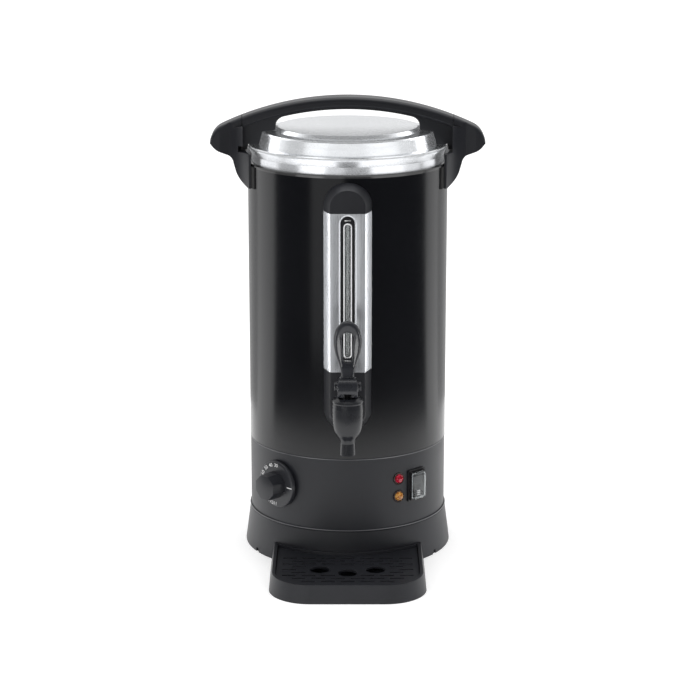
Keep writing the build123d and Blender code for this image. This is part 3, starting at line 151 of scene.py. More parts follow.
class Shader:
    """A node material round one Principled shader, with short calls for what the finishes share."""

    def __init__(self, name, **sockets):
        self.material = bpy.data.materials.new(name)
        self.material.use_nodes = True
        self.tree = self.material.node_tree
        self.shader = self.tree.nodes["Principled BSDF"]
        for socket, value in sockets.items():
            self.shader.inputs[socket.replace("_", " ")].default_value = value
        coordinates = self.add("ShaderNodeTexCoord")
        self.place = coordinates.outputs["Object"]

    def add(self, kind, **settings):
        node = self.tree.nodes.new(kind)
        for name, value in settings.items():
            setattr(node, name, value)
        return node

    def link(self, source, target):
        self.tree.links.new(source, target)

    def math(self, operation, first, second=0.0):
        """One Math node; either input may be a socket or a number."""
        node = self.add("ShaderNodeMath", operation=operation)
        for value, socket in zip((first, second), node.inputs):
            if isinstance(value, (int, float)):
                socket.default_value = value
            else:
                self.link(value, socket)
        return node.outputs[0]

    def stretched(self, x, y, z):
        """Place scaled along each axis, for a grain that runs one way."""
        mapping = self.add("ShaderNodeMapping")
        mapping.inputs["Scale"].default_value = (x, y, z)
        self.link(self.place, mapping.inputs["Vector"])
        return mapping.outputs[0]

    def lathe_place(self, across, along):
        """Place for a grain that runs round the upright axis: radius and height fine, angle coarse."""
        split = self.add("ShaderNodeSeparateXYZ")
        self.link(self.place, split.inputs[0])
        radius = self.math("SQRT", self.math("ADD", self.math("POWER", split.outputs[0], 2.0),
                                             self.math("POWER", split.outputs[1], 2.0)))
        angle = self.math("ARCTAN2", split.outputs[0], split.outputs[1])
        join = self.add("ShaderNodeCombineXYZ")
        self.link(self.math("MULTIPLY", radius, across), join.inputs[0])
        self.link(self.math("MULTIPLY", split.outputs[2], across), join.inputs[1])
        self.link(self.math("MULTIPLY", angle, along), join.inputs[2])
        return join.outputs[0]

    def noise(self, place, scale, detail=3.0, roughness=0.55):
        texture = self.add("ShaderNodeTexNoise")
        texture.inputs["Scale"].default_value = scale
        texture.inputs["Detail"].default_value = detail
        texture.inputs["Roughness"].default_value = roughness
        self.link(place, texture.inputs["Vector"])
        return texture.outputs[0]

    def brushed(self, strength, rotation=0.25):
        """Gloss drawn out up and down, or with no rotation sideways, round the upright axis."""
        self.shader.inputs["Anisotropic"].default_value = strength
        self.shader.inputs["Anisotropic Rotation"].default_value = rotation
        tangent = self.add("ShaderNodeTangent", direction_type="RADIAL", axis="Z")
        self.link(tangent.outputs[0], self.shader.inputs["Tangent"])

    def spread(self, source, low, high, target):
        """Maps a texture's middle range to a shader socket."""
        node = self.add("ShaderNodeMapRange")
        node.inputs["From Min"].default_value = NOISE_LOW
        node.inputs["From Max"].default_value = NOISE_HIGH
        node.inputs["To Min"].default_value = low
        node.inputs["To Max"].default_value = high
        self.link(source, node.inputs["Value"])
        self.link(node.outputs[0], self.shader.inputs[target])

    def tint(self, source, dark, light):
        """Base colour between two tones."""
        ramp = self.add("ShaderNodeValToRGB")
        ramp.color_ramp.elements[0].position = NOISE_LOW
        ramp.color_ramp.elements[1].position = NOISE_HIGH
        ramp.color_ramp.elements[0].color = (*dark, 1)
        ramp.color_ramp.elements[1].color = (*light, 1)
        self.link(source, ramp.inputs[0])
        self.link(ramp.outputs[0], self.shader.inputs["Base Color"])

    def relief(self, source, height, edge_round=0.0):
        """Bump of a height in metres, over edges softened by a small radius."""
        bump = self.add("ShaderNodeBump")
        bump.inputs["Distance"].default_value = height
        bump.inputs["Strength"].default_value = 1.0
        self.link(source, bump.inputs["Height"])
        if edge_round:
            bevel = self.add("ShaderNodeBevel", samples=4)
            bevel.inputs["Radius"].default_value = mm(edge_round)
            self.link(bevel.outputs[0], bump.inputs["Normal"])
        self.link(bump.outputs[0], self.shader.inputs["Normal"])


def scaled(colour, factor):
    return tuple(min(1.0, c * factor) for c in colour)


def plastic(name, colour, roughness, grain=900, height=0.00002, edge_round=0.6, **sockets):
    """Moulded plastic: fine grain, slow change of gloss, softened edges."""
    made = Shader(name, Roughness=roughness, **sockets)
    slow = made.noise(made.place, PLASTIC_PATCHES, detail=4)
    made.tint(slow, scaled(colour, 0.85), scaled(colour, 1.15))
    made.spread(slow, roughness - 0.04, roughness + 0.05, "Roughness")
    made.relief(made.noise(made.place, grain, detail=2), height, edge_round)
    return made.material


def powder_coat(name, colour, roughness, **sockets):
    """Baked powder coat on steel: faint orange peel over an even black."""
    made = Shader(name, Roughness=roughness, **sockets)
    slow = made.noise(made.place, PAINT_PATCHES, detail=4)
    made.tint(slow, scaled(colour, 0.9), scaled(colour, 1.1))
    made.spread(slow, roughness - 0.03, roughness + 0.03, "Roughness")
    made.relief(made.noise(made.place, ORANGE_PEEL, detail=2), 0.000012)
    return made.material


def lathe_steel(name, colour, roughness, across=0.75):
    """Steel brushed round the urn's axis, so that what it mirrors is drawn out across the grain."""
    made = Shader(name, Metallic=1.0, Roughness=roughness)
    made.brushed(across)
    lines = made.noise(made.lathe_place(1.0, 0.02), LATHE_LINES, detail=4)
    broad = made.noise(made.lathe_place(1.0, 0.02), LATHE_BANDS, detail=3)
    made.tint(broad, scaled(colour, 0.95), scaled(colour, 1.04))
    made.spread(lines, roughness - 0.05, roughness + 0.07, "Roughness")
    made.relief(lines, 0.000012)
    return made.material


def long_steel(name, colour, roughness, edge_round=0.3, across=0.0):
    """Steel brushed along its length, which stands upright."""
    made = Shader(name, Metallic=1.0, Roughness=roughness)
    if across:
        made.brushed(across, rotation=0.0)
    lines = made.noise(made.stretched(1.0, 1.0, 0.012), LONG_LINES, detail=4)
    broad = made.noise(made.stretched(1.0, 1.0, 0.02), LONG_BANDS, detail=3)
    made.tint(broad, scaled(colour, 0.93), scaled(colour, 1.05))
    made.spread(lines, roughness - 0.06, roughness + 0.08, "Roughness")
    made.relief(lines, 0.00001, edge_round)
    return made.material


def rubber(name, colour, roughness):
    """Rubber or silicone: a soft, even grain."""
    made = Shader(name, Roughness=roughness)
    fine = made.noise(made.place, RUBBER_GRAIN, detail=3)
    made.tint(fine, scaled(colour, 0.8), scaled(colour, 1.2))
    made.spread(fine, roughness - 0.06, roughness + 0.06, "Roughness")
    made.relief(fine, 0.00003, 0.4)
    return made.material


def clear(name, colour, roughness, ior, through, height=0.0):
    """Clear plastic or glass with a trace of waviness; what doesn't pass through is a milky veil."""
    made = Shader(name, Base_Color=(*colour, 1), Roughness=roughness, IOR=ior)
    made.shader.inputs["Transmission Weight"].default_value = through
    wave = made.noise(made.place, CLEAR_WAVES, detail=2)
    made.spread(wave, max(0.0, roughness - 0.02), roughness + 0.03, "Roughness")
    if height:
        made.relief(wave, height)
    return made.material


def lens(name, dark, light):
    """Coloured lens of a lamp: see-through tint, with lighter cells of painted glint that stand in for the
    sparkle of its inner facets.
    """
    made = Shader(name, Roughness=0.08, IOR=1.49)
    made.shader.inputs["Transmission Weight"].default_value = 0.35
    made.shader.inputs["Coat Weight"].default_value = 0.6
    made.shader.inputs["Coat Roughness"].default_value = 0.05
    glint_cells = made.add("ShaderNodeTexVoronoi")
    glint_cells.inputs["Scale"].default_value = LENS_GLINT_CELLS
    made.link(made.place, glint_cells.inputs["Vector"])
    # Painted glint: each cell's middle takes the lighter tone and its edge the darker one
    made.tint(glint_cells.outputs["Distance"], light, dark)
    made.relief(made.noise(made.place, LENS_WAVES, detail=1), 0.00003, 0.3)
    return made.material


BLACK_PLASTIC = plastic("moulded_black", (0.0145, 0.0155, 0.0200), 0.42, edge_round=0.7)
GLOSS_BLACK = plastic("satin_black", (0.0125, 0.0133, 0.0165), 0.26, grain=500, height=0.000006,
                      edge_round=0.8)
DARK_PLASTIC = plastic("inner_black", (0.010, 0.010, 0.012), 0.38, grain=700, height=0.00001, edge_round=0.3)
WHITE_PLASTIC = plastic("ceramic_white", (0.74, 0.73, 0.70), 0.45, grain=400, height=0.00001)
BLACK_PAINT = powder_coat("powder_black", (0.0052, 0.0056, 0.0072), 0.20)
EDGE_PAINT = powder_coat("powder_edge", (0.0055, 0.0056, 0.0062), 0.16, IOR=1.7)
BEAD_BLACK = plastic("bead_black", (0.0145, 0.0155, 0.0200), 0.30, edge_round=0.0, IOR=2.0)
GRIP_BLACK = plastic("grip_black", (0.0150, 0.0158, 0.0195), 0.34, grain=500, height=0.000006,
                     edge_round=0.15)
DIAL_BLACK = plastic("dial_black", (0.0240, 0.0250, 0.0290), 0.30, grain=500, height=0.000006, edge_round=0.3)
LID_STEEL = lathe_steel("lid_steel", (0.675, 0.69, 0.71), 0.25, across=0.15)
TANK_STEEL = lathe_steel("tank_steel", (0.75, 0.765, 0.79), 0.28)
GUARD_STEEL = long_steel("guard_steel", (0.56, 0.575, 0.60), 0.30, across=0.5, edge_round=0.12)
PLAIN_STEEL = long_steel("rolled_steel", (0.55, 0.55, 0.56), 0.35)
BRIGHT_STEEL = long_steel("plated_steel", (0.82, 0.82, 0.83), 0.16, edge_round=0.2)
ALUMINIUM = lathe_steel("cast_aluminium", (0.70, 0.70, 0.71), 0.42)
RUBBER = rubber("black_rubber", (0.012, 0.012, 0.012), 0.75)
SILICONE = rubber("white_silicone", (0.62, 0.63, 0.64), 0.5)
GLASS = clear("sight_glass", (0.92, 0.95, 0.95), 0.12, 1.47, through=0.955)
BOOT_CLEAR = clear("clear_cover", (0.66, 0.69, 0.70), 0.10, 1.40, through=0.95, height=0.00004)
# Each lens's second tone is the lighter tone of its painted glint
RED_LENS = lens("red_lens", (0.34, 0.004, 0.016), (0.70, 0.025, 0.07))
AMBER_LENS = lens("amber_lens", (0.42, 0.14, 0.02), (0.85, 0.45, 0.13))
LAMP_RIM = plastic("lamp_rim", (0.020, 0.008, 0.006), 0.2, grain=500, height=0.000004, edge_round=0.2)
WHITE_PRINT = plastic("white_print", (0.82, 0.82, 0.82), 0.5, grain=600, height=0.000004, edge_round=0.0)

FINISH = {
    "black_plastic": BLACK_PLASTIC,
    "gloss_black": GLOSS_BLACK,
    "dark_plastic": DARK_PLASTIC,
    "white_plastic": WHITE_PLASTIC,
    "black_paint": BLACK_PAINT,
    "stainless": TANK_STEEL,
    "brushed_steel": GUARD_STEEL,
    "plain_steel": PLAIN_STEEL,
    "screw_steel": BRIGHT_STEEL,
    "aluminium_plate": ALUMINIUM,
    "black_rubber": RUBBER,
    "clear_silicone": SILICONE,
    "clear_glass": GLASS,
    "clear_boot": BOOT_CLEAR,
    "red_lens": RED_LENS,
    "amber_lens": AMBER_LENS,
}


def dress_cad_nodes():
    """Every CAD node gets the finish of its slot; the lid's pan has a broader brushing."""
    for row in frame["record"]["subparts"]:
        body = frame["nodes"][row["node"]]
        finish = FINISH[row["material_slot"]]
        if row["node"] == "lid_pan":
            finish = LID_STEEL
        body.data.materials.clear()
        body.data.materials.append(finish)


# ---------------------------------------------------------------- mesh helpers


def piece(name, mesh, material, body, smooth_angle=35):
    """A mesh as an object of the scene that rides on a CAD body."""
    mesh.name = name
    made = bpy.data.objects.new(name, mesh)
    bpy.context.scene.collection.objects.link(made)
    mesh.materials.clear()
    mesh.materials.append(material)
    mesh.shade_smooth()
    mesh.set_sharp_from_angle(angle=math.radians(smooth_angle))
    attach(made, body)
    return made


def from_bmesh(build, place=None):
    """Runs build(bm) on a new bmesh and returns the mesh, moved to its place."""
    bm = bmesh.new()
    build(bm)
    bmesh.ops.remove_doubles(bm, verts=bm.verts, dist=1e-7)
    bmesh.ops.recalc_face_normals(bm, faces=bm.faces)
    mesh = bpy.data.meshes.new("mesh")
    bm.to_mesh(mesh)
    bm.free()
    if place is not None:
        mesh.transform(place)
    return mesh


def with_modifiers(mesh, modifiers):
    """The mesh with modifiers applied, each given as (type, settings)."""
    holder = bpy.data.objects.new("holder", mesh)
    bpy.context.scene.collection.objects.link(holder)
    for kind, settings in modifiers:
        modifier = holder.modifiers.new(kind.lower(), kind)
        for name, value in settings.items():
            setattr(modifier, name, value)
    graph = bpy.context.evaluated_depsgraph_get()
    made = bpy.data.meshes.new_from_object(holder.evaluated_get(graph))
    bpy.data.objects.remove(holder)
    return made


def stadium(half_w, low, high, steps=16):
    """Points of an upright slot outline with round ends, anticlockwise from its right side."""
    points = []
    for centre, start in ((high - half_w, 0.0), (low + half_w, math.pi)):
        for i in range(steps + 1):
            turn = start + math.pi * i / steps
            points.append((half_w * math.cos(turn), centre + half_w * math.sin(turn)))
    return points


def turned(profile, steps):
    """Mesh builder: a profile of (radius, height) points, turned round the local z axis."""

    def build(bm):
        rings = []
        for radius, height in profile:
            if radius < 1e-6:
                rings.append([bm.verts.new(mm(0, 0, height))])
                continue
            rings.append([
                bm.verts.new(mm(radius * math.cos(2 * math.pi * i / steps),
                                radius * math.sin(2 * math.pi * i / steps), height))
                for i in range(steps)
            ])
        for low, high in zip(rings, rings[1:]):
            for i in range(steps):
                j = (i + 1) % steps
                corners = [low[i % len(low)], low[j % len(low)], high[j % len(high)], high[i % len(high)]]
                unique = list(dict.fromkeys(corners))
                if len(unique) > 2:
                    bm.faces.new(unique)

    return build


def skin(bm, loops, first_cap=False, last_cap=False):
    """Faces between equal closed loops of points in mm; either end may be filled."""
    rows = [[bm.verts.new(mm(*p)) for p in loop] for loop in loops]
    for low, high in zip(rows, rows[1:]):
        for i in range(len(low)):
            j = (i + 1) % len(low)
            bm.faces.new((low[i], low[j], high[j], high[i]))
    if first_cap:
        bm.faces.new(rows[0])
    if last_cap:
        bm.faces.new(rows[-1])


def skinned(loops, place=None, **caps):
    """Mesh of a skin over loops."""
    return from_bmesh(lambda bm: skin(bm, loops, **caps), place)


# ---------------------------------------------------------------- rim of the tank and edge of the shell

RING_STEPS = 192
FLARE_DEPTH = 0.3        # how far the flare reaches into the tank's wall
RIM_FLARE = (            # radius and height, from the tank's wall to the rim
    (105.52, 444.8), (105.9, 445.6), (108.3, 450.8), (108.85, 451.7), (109.02, 452.3), (108.7, 452.96),
)
SHELL_EDGE = (           # radius and height, from the foot of the outside over the edge and back beneath it
    (110.01, 433.6), (110.01, 436.1), (109.8, 436.7), (109.2, 437.02), (105.6, 437.02), (105.6, 436.4),
    (109.0, 436.4), (109.4, 433.6), (110.01, 433.6),
)
SEAM_BEAD = ((-0.5, 0.62), (0.05, 0.6), (0.3, 0.35), (0.38, 0.0), (0.3, -0.4), (-0.5, -0.9), (-0.5, 0.62))
SEAMS = (("housing_bead", BASE_R, 123.9), ("skirt_bead", 110.8, 43.1))


def rim_rings():
    """The rolled flare under the tank's rim, the shell's turned-in edge, and the base's two seam edges."""
    inside = RIM_FLARE[0][0] - FLARE_DEPTH
    flare = turned([(inside, RIM_FLARE[0][1]), *RIM_FLARE, (inside, RIM_FLARE[-1][1])], RING_STEPS)
    piece("rim_flare", from_bmesh(flare), TANK_STEEL, "urn", smooth_angle=40)
    edge = turned(SHELL_EDGE, RING_STEPS)
    piece("shell_edge", from_bmesh(edge), EDGE_PAINT, "urn", smooth_angle=60)
    for name, radius, z in SEAMS:
        bead = turned([(radius + out, z + up) for out, up in SEAM_BEAD], RING_STEPS)
        piece(name, from_bmesh(bead), BEAD_BLACK, "urn", smooth_angle=80)


# ---------------------------------------------------------------- level gauge

GUARD_DRAFT = 20         # degrees that the sides lean in towards the face
GUARD_BEND = 0.5         # radius of the guard's two long bends
BEND_STEPS = 6
BEND_SWELL = 1.1         # the bend runs a tenth past its arc, to meet the side
GUARD_SHEET = 0.9        # thickness
SLOT_HALF_W = 7.65
SLOT_LOW, SLOT_HIGH = 234.7, 395.9
LIP_W = 2.2              # rolled lip round the slot
LIP_DEPTH = 1.7
LIP_STEPS = (0.35, 0.7, 1.0)


def guard_face():
    """The guard's sheet: drafted sides, rolled bends and a lip round the slot."""
    low_z, high_z = GUARD_LOW.z, GUARD_HIGH.z
    face_y = GUARD_LOW.y
    root_half, root_y = GUARD_HIGH.x, GUARD_HIGH.y
    half = root_half - (root_y - face_y) * math.tan(math.radians(GUARD_DRAFT))

    def side(sign):
        """Plan of one side from the flat face round the bend to the shell."""
        points = [(sign * (half - GUARD_BEND), face_y)]
        for i in range(1, BEND_STEPS + 1):
            turn = math.radians(90 - GUARD_DRAFT) * i / BEND_STEPS
            points.append((sign * (half - GUARD_BEND + GUARD_BEND * math.sin(turn) * BEND_SWELL),
                           face_y + GUARD_BEND * (1 - math.cos(turn)) * BEND_SWELL))
        points.append((sign * root_half, root_y))
        return points

    def build(bm):
        flats = []
        for sign in (1, -1):
            plan = side(sign)
            low = [bm.verts.new(mm(x, y, low_z)) for x, y in plan]
            high = [bm.verts.new(mm(x, y, high_z)) for x, y in plan]
            for i in range(len(plan) - 1):
                bm.faces.new((low[i], low[i + 1], high[i + 1], high[i]))
            flats += [low[0], high[0]]
        rim = stadium(SLOT_HALF_W + LIP_W, SLOT_LOW - LIP_W, SLOT_HIGH + LIP_W)
        outer = [bm.verts.new(mm(x, face_y, z)) for x, z in rim]
        edges = [bm.edges.new((outer[i], outer[(i + 1) % len(outer)])) for i in range(len(outer))]
        right_low, right_high, left_low, left_high = flats
        for a, b in ((right_low, left_low), (left_high, right_high)):
            edges.append(bm.edges.new((a, b)))
        for a, b in ((right_low, right_high), (left_low, left_high)):
            edges.append(bm.edges.get((a, b)))
        bmesh.ops.triangle_fill(bm, use_beauty=True, edges=edges)
        last = outer
        for step in LIP_STEPS:
            turn = step * math.pi / 2
            inset = LIP_W * math.sin(turn)
            depth = LIP_DEPTH * (1 - math.cos(turn))
            ring = stadium(SLOT_HALF_W + LIP_W - inset, SLOT_LOW - LIP_W + inset, SLOT_HIGH + LIP_W - inset)
            inner = [bm.verts.new(mm(x, face_y + depth, z)) for x, z in ring]
            for i in range(len(inner)):
                j = (i + 1) % len(inner)
                bm.faces.new((last[i], last[j], inner[j], inner[i]))
            last = inner

    sheet = with_modifiers(from_bmesh(build), [("SOLIDIFY", {"thickness": mm(GUARD_SHEET), "offset": -1.0})])
    made = piece("guard_sheet", sheet, GUARD_STEEL, "urn", smooth_angle=50)
    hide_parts("gauge_guard")


WINDOW_HALF_W = 4.8
WINDOW_END = 6.9         # window ends this far inside the slot's ends
WINDOW_CHAMFER, CHAMFER_DEPTH, WINDOW_DEPTH = 0.5, 0.4, 3.6
CARRIER_EDGE = 0.9       # depth of the carrier's outside edge
BACK_GAP = 1.6           # back wall, ahead of the insert's back
BACK_SLIT = 0.4          # half width of the back wall's middle line
RIM_WIRE_R = 0.75
RIM_WIRE_INSET, RIM_WIRE_PROUD, RIM_WIRE_CROWN = 0.9, 0.1, 0.8
RIM_WIRE_STEPS = 6
MARK_GAP = 2.4           # from the window's end to the printed mark
MARK_PROUD, MARK_T = 0.08, 0.1
MARK_BARS = (((-3.2, -0.6), 0.9), ((-1.4, 1.0), 0.6), ((1.9, 3.0), 0.6))   # left and right end, and height


def upright(outline, y):
    """Points of an outline in x and z, stood at a depth."""
    return [(x, y, z) for x, z in outline]


def gauge_carrier():
    """Black carrier behind the slot, with the sight window, its bright rim and the printed marks."""
    front = INSERT_LOW.y
    low, high = SLOT_LOW + WINDOW_END, SLOT_HIGH - WINDOW_END
    outside = stadium(INSERT_HIGH.x, INSERT_LOW.z, INSERT_HIGH.z)
    chamfer = stadium(WINDOW_HALF_W + WINDOW_CHAMFER, low - WINDOW_CHAMFER, high + WINDOW_CHAMFER)
    window = stadium(WINDOW_HALF_W, low, high)
    made = piece("gauge_carrier", skinned([
        upright(outside, front + CARRIER_EDGE), upright(outside, front), upright(chamfer, front),
        upright(window, front + CHAMFER_DEPTH), upright(window, front + WINDOW_DEPTH),
    ]), DARK_PLASTIC, "urn")
    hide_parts("gauge_insert")
    back_y = INSERT_HIGH.y - BACK_GAP
    middle = stadium(BACK_SLIT, INSERT_LOW.z + INSERT_HIGH.x, INSERT_HIGH.z - INSERT_HIGH.x)
    piece("gauge_back", skinned([upright(outside, back_y), upright(middle, back_y)]),
          DARK_PLASTIC, "urn")
    wire = []
    for i in range(RIM_WIRE_STEPS + 1):
        turn = math.pi * i / RIM_WIRE_STEPS
        half = WINDOW_HALF_W - RIM_WIRE_INSET + RIM_WIRE_R * math.cos(turn)
        ends = WINDOW_HALF_W - half
        y = front - RIM_WIRE_PROUD - RIM_WIRE_R * RIM_WIRE_CROWN * math.sin(turn)
        wire.append(upright(stadium(half, low + ends, high - ends), y))
    piece("window_rim", skinned(wire), BRIGHT_STEEL, "urn")
    for name, z in (("mark_high", high + MARK_GAP), ("mark_low", low - MARK_GAP)):
        piece(name, from_bmesh(bars(MARK_BARS, front - MARK_PROUD, z)), WHITE_PRINT, "urn")


def bars(strokes, y, z):
    """Mesh builder: short printed bars in a row, each ((x0, x1), height)."""

    def build(bm):
        for (x0, x1), height in strokes:
            corners = [(x, z + h) for x, h in
                       ((x0, -height / 2), (x1, -height / 2), (x1, height / 2), (x0, height / 2))]
            skin(bm, [upright(corners, y), upright(corners, y + MARK_T)], first_cap=True, last_cap=True)

    return build


# ---------------------------------------------------------------- lever

LOOP_TOP, LOOP_WIDE_Z, LOOP_FOOT = 292.6, 272.0, 240.0
LOOP_HALF, FLANK_R = 14.7, 54.5
LOOP_NECK_Z = 252.0      # below this the flank curves out again towards the neck
LOOP_NECK = (10.9, 0.394, 0.0084)                  # half width there, its slope and its curve
LOOP_MIDDLE_Z = 262.0    # the rays to the outline start here
LOOP_POINTS = 48         # on each side of the outline
HOLE_LOW, HOLE_HIGH = (249.0, 4.4), (273.8, 6.6)   # centre height and radius of the hole's two ends
HOLE_CIRCLES, HALVINGS = 12, 22
HUB_SHOULDER = (         # height above the pin, and the hub's half width there
    (5.0, 10.6), (7.0, 10.1), (9.0, 9.3), (11.0, 8.3), (13.0, 7.5), (17.0, 7.2),
)
LOOP_SECTION = (         # share of the way from the outline to the hole, and how far ahead of the axis
    (0.0, -3.2), (0.0, 1.4), (0.04, 2.9), (0.12, 3.9), (0.22, 4.4), (0.34, 4.3), (0.62, 3.2), (0.86, 1.9),
    (0.97, 0.9), (1.0, -0.4), (1.0, -3.4), (0.9, -4.2), (0.1, -4.2),
)
LOOP_CUT_Z = 243.0       # the CAD lever is kept below this height
LEVER_VOXEL = 0.42


def loop_outline():
    """Half width of the lever's finger loop by height, as (x, z) points round it."""
    rise = []
    for i in range(LOOP_POINTS + 1):
        z = LOOP_TOP - (LOOP_TOP - LOOP_FOOT) * (1 - math.cos(math.pi * (1 - i / LOOP_POINTS) / 2))
        if z >= LOOP_WIDE_Z:
            x = LOOP_HALF * math.sqrt(max(0.0, 1 - ((z - LOOP_WIDE_Z) / (LOOP_TOP - LOOP_WIDE_Z)) ** 2))
        elif z >= LOOP_NECK_Z:
            x = LOOP_HALF - FLANK_R + math.sqrt(FLANK_R ** 2 - (LOOP_WIDE_Z - z) ** 2)
        else:
            half, slope, curve = LOOP_NECK
            x = half - slope * (LOOP_NECK_Z - z) + curve * (LOOP_NECK_Z - z) ** 2
        rise.append((x, z))
    return rise + [(-x, z) for x, z in rise[-2::-1]]


def in_hole(x, z):
    """Whether a point lies in the hole, which is a row of circles from its low end to its high end."""
    for i in range(HOLE_CIRCLES + 1):
        t = i / HOLE_CIRCLES
        middle = HOLE_LOW[0] + (HOLE_HIGH[0] - HOLE_LOW[0]) * t
        radius = HOLE_LOW[1] + (HOLE_HIGH[1] - HOLE_LOW[1]) * t
        if math.hypot(x, z - middle) < radius:
            return True
    return False


def hole_point(x, z):
    """Where the ray from the loop's middle to a point of its outline meets the hole's edge."""
    low, high = 0.0, 1.0
    for _ in range(HALVINGS):
        share = (low + high) / 2
        inside = in_hole(x * share, LOOP_MIDDLE_Z + (z - LOOP_MIDDLE_Z) * share)
        low, high = (share, high) if inside else (low, share)
    return x * low, LOOP_MIDDLE_Z + (z - LOOP_MIDDLE_Z) * low


def hub_half(above):
    """Half width of the lever's hub at a height above its pin."""
    for (low, wide), (high, narrow) in zip(HUB_SHOULDER, HUB_SHOULDER[1:]):
        if above <= high:
            return wide + (narrow - wide) * (above - low) / (high - low)
    return HUB_SHOULDER[-1][1]


def lever_form():
    """Lever with a finger loop that slopes in to its hole, grown together with its neck and hub."""
    pin = joint("lever_pull")["pos_m"]
    axis_y, pin_z = pin[1] * 1000, pin[2] * 1000

    def everything(bm):
        return bm.verts[:] + bm.edges[:] + bm.faces[:]

    def build(bm):
        bm.from_mesh(frame["nodes"]["tap_lever"].data)
        bmesh.ops.remove_doubles(bm, verts=bm.verts, dist=1e-6)
        cut = bmesh.ops.bisect_plane(bm, geom=everything(bm), plane_co=mm(0, 0, LOOP_CUT_Z),
                                     plane_no=(0, 0, 1), clear_outer=True)["geom_cut"]
        bmesh.ops.holes_fill(bm, edges=[e for e in cut if isinstance(e, bmesh.types.BMEdge)])
        for above, _ in HUB_SHOULDER:
            level = mm(0, 0, pin_z + above)
            bmesh.ops.bisect_plane(bm, geom=everything(bm), plane_co=level, plane_no=(0, 0, 1))
        for vert in bm.verts:
            above = vert.co.z * 1000 - pin_z
            if above > HUB_SHOULDER[0][0]:
                limit = mm(hub_half(above))
                vert.co.x = max(-limit, min(limit, vert.co.x))
        rays = [((x, z), hole_point(x, z)) for x, z in loop_outline()]
        loops = [[(x + (hx - x) * share, axis_y - ahead, z + (hz - z) * share) for (x, z), (hx, hz) in rays]
                 for share, ahead in LOOP_SECTION]
        skin(bm, loops + loops[:1])

    form = with_modifiers(from_bmesh(build), [
        ("REMESH", {"mode": "VOXEL", "voxel_size": mm(LEVER_VOXEL)}),
        ("SMOOTH", {"factor": 0.5, "iterations": 10}),
        ("DECIMATE", {"ratio": 0.35})])
    made = piece("lever_form", form, GLOSS_BLACK, "lever", smooth_angle=60)
    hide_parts("tap_lever")


def return_spring():
    """The tap's spring, copied from its CAD node onto the urn's body, where it stays against the bonnet."""
    coil = from_bmesh(lambda bm: bm.from_mesh(frame["nodes"]["tap_spring"].data))
    made = piece("return_spring", coil, BRIGHT_STEEL, "urn")
    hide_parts("tap_spring")
    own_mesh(made)


# ---------------------------------------------------------------- controls

DIAL_R, DIAL_T = 26.2, 5.0
DIAL_GAP = 0.7           # between the base and the dial
DIAL_PROFILE = (         # radius and height from the dial's back to its face
    (0, 0.2), (DIAL_R - 1.2, 0.0), (DIAL_R, 0.8), (DIAL_R, DIAL_T - 1.6), (DIAL_R - 0.5, DIAL_T - 0.7),
    (DIAL_R - 1.6, DIAL_T - 0.1), (DIAL_R - 2.6, DIAL_T), (0, DIAL_T),
)
GRIP_HALF, GRIP_H = 14.0, 17.5
GRIP_TAPER = 1.5         # degrees
GRIP_EDGE, GRIP_SUNK = 0.45, 0.2
LINE_START, LINE_END, LINE_HALF_W = GRIP_HALF + 3.6, DIAL_R - 1.8, 0.5
LINE_SUNK, LINE_PROUD = 0.3, 0.12
NUMBER_R, NUMBER_H, NUMBER_LIFT = 21.9, 3.9, 0.02
NUMBERS = range(30, 111, 10)
FIRST_NUMBER_ANGLE, NUMBER_PITCH = 88.0, 22.0


def octagon(half, height):
    """Eight corners of an upright prism's section, with flats at half from the middle."""
    radius = half / math.cos(math.pi / 8)
    turns = [math.pi / 8 + i * math.pi / 4 for i in range(8)]
    return [(radius * math.cos(turn), radius * math.sin(turn), height) for turn in turns]


def knob_piece():
    """Thermostat knob: bevelled dial and an eight-sided grip, with plain printed numbers."""
    place = radial_frame(KNOB_ANGLE, KNOB_Z, BASE_R + DIAL_GAP)
    dial = from_bmesh(turned(DIAL_PROFILE, 96), place)
    made = piece("dial", dial, DIAL_BLACK, "knob_body")
    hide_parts("knob")

    top_half = GRIP_HALF - GRIP_H * math.tan(math.radians(GRIP_TAPER))
    ends = [octagon(GRIP_HALF, DIAL_T - GRIP_SUNK), octagon(top_half, DIAL_T + GRIP_H)]
    grip = skinned(ends, place, last_cap=True)
    grip = with_modifiers(grip, [("BEVEL", {"width": mm(GRIP_EDGE), "segments": 2, "limit_method": "ANGLE"})])
    piece("grip", grip, GRIP_BLACK, "knob_body", smooth_angle=25)

    corners = ((LINE_START, -LINE_HALF_W), (LINE_END, -LINE_HALF_W), (LINE_END, LINE_HALF_W),
               (LINE_START, LINE_HALF_W))
    line = skinned([[(x, y, z) for x, y in corners] for z in (DIAL_T - LINE_SUNK, DIAL_T + LINE_PROUD)],
                   place, last_cap=True)
    piece("dial_line", line, WHITE_PRINT, "knob_body")
    for i, value in enumerate(NUMBERS):
        angle = math.radians(FIRST_NUMBER_ANGLE + i * NUMBER_PITCH)
        turn = Matrix.Rotation(angle - math.pi / 2, 4, "Z")
        spot = Matrix.Translation(mm(NUMBER_R * math.cos(angle), NUMBER_R * math.sin(angle),
                                     DIAL_T + NUMBER_LIFT))
        printed(f"dial_number_{value}", str(value), NUMBER_H, place @ spot @ turn, "knob_body")


CAPITAL_SHARE = 0.7      # height of the font's figures as a share of its size
PRINT_PROUD = 0.06


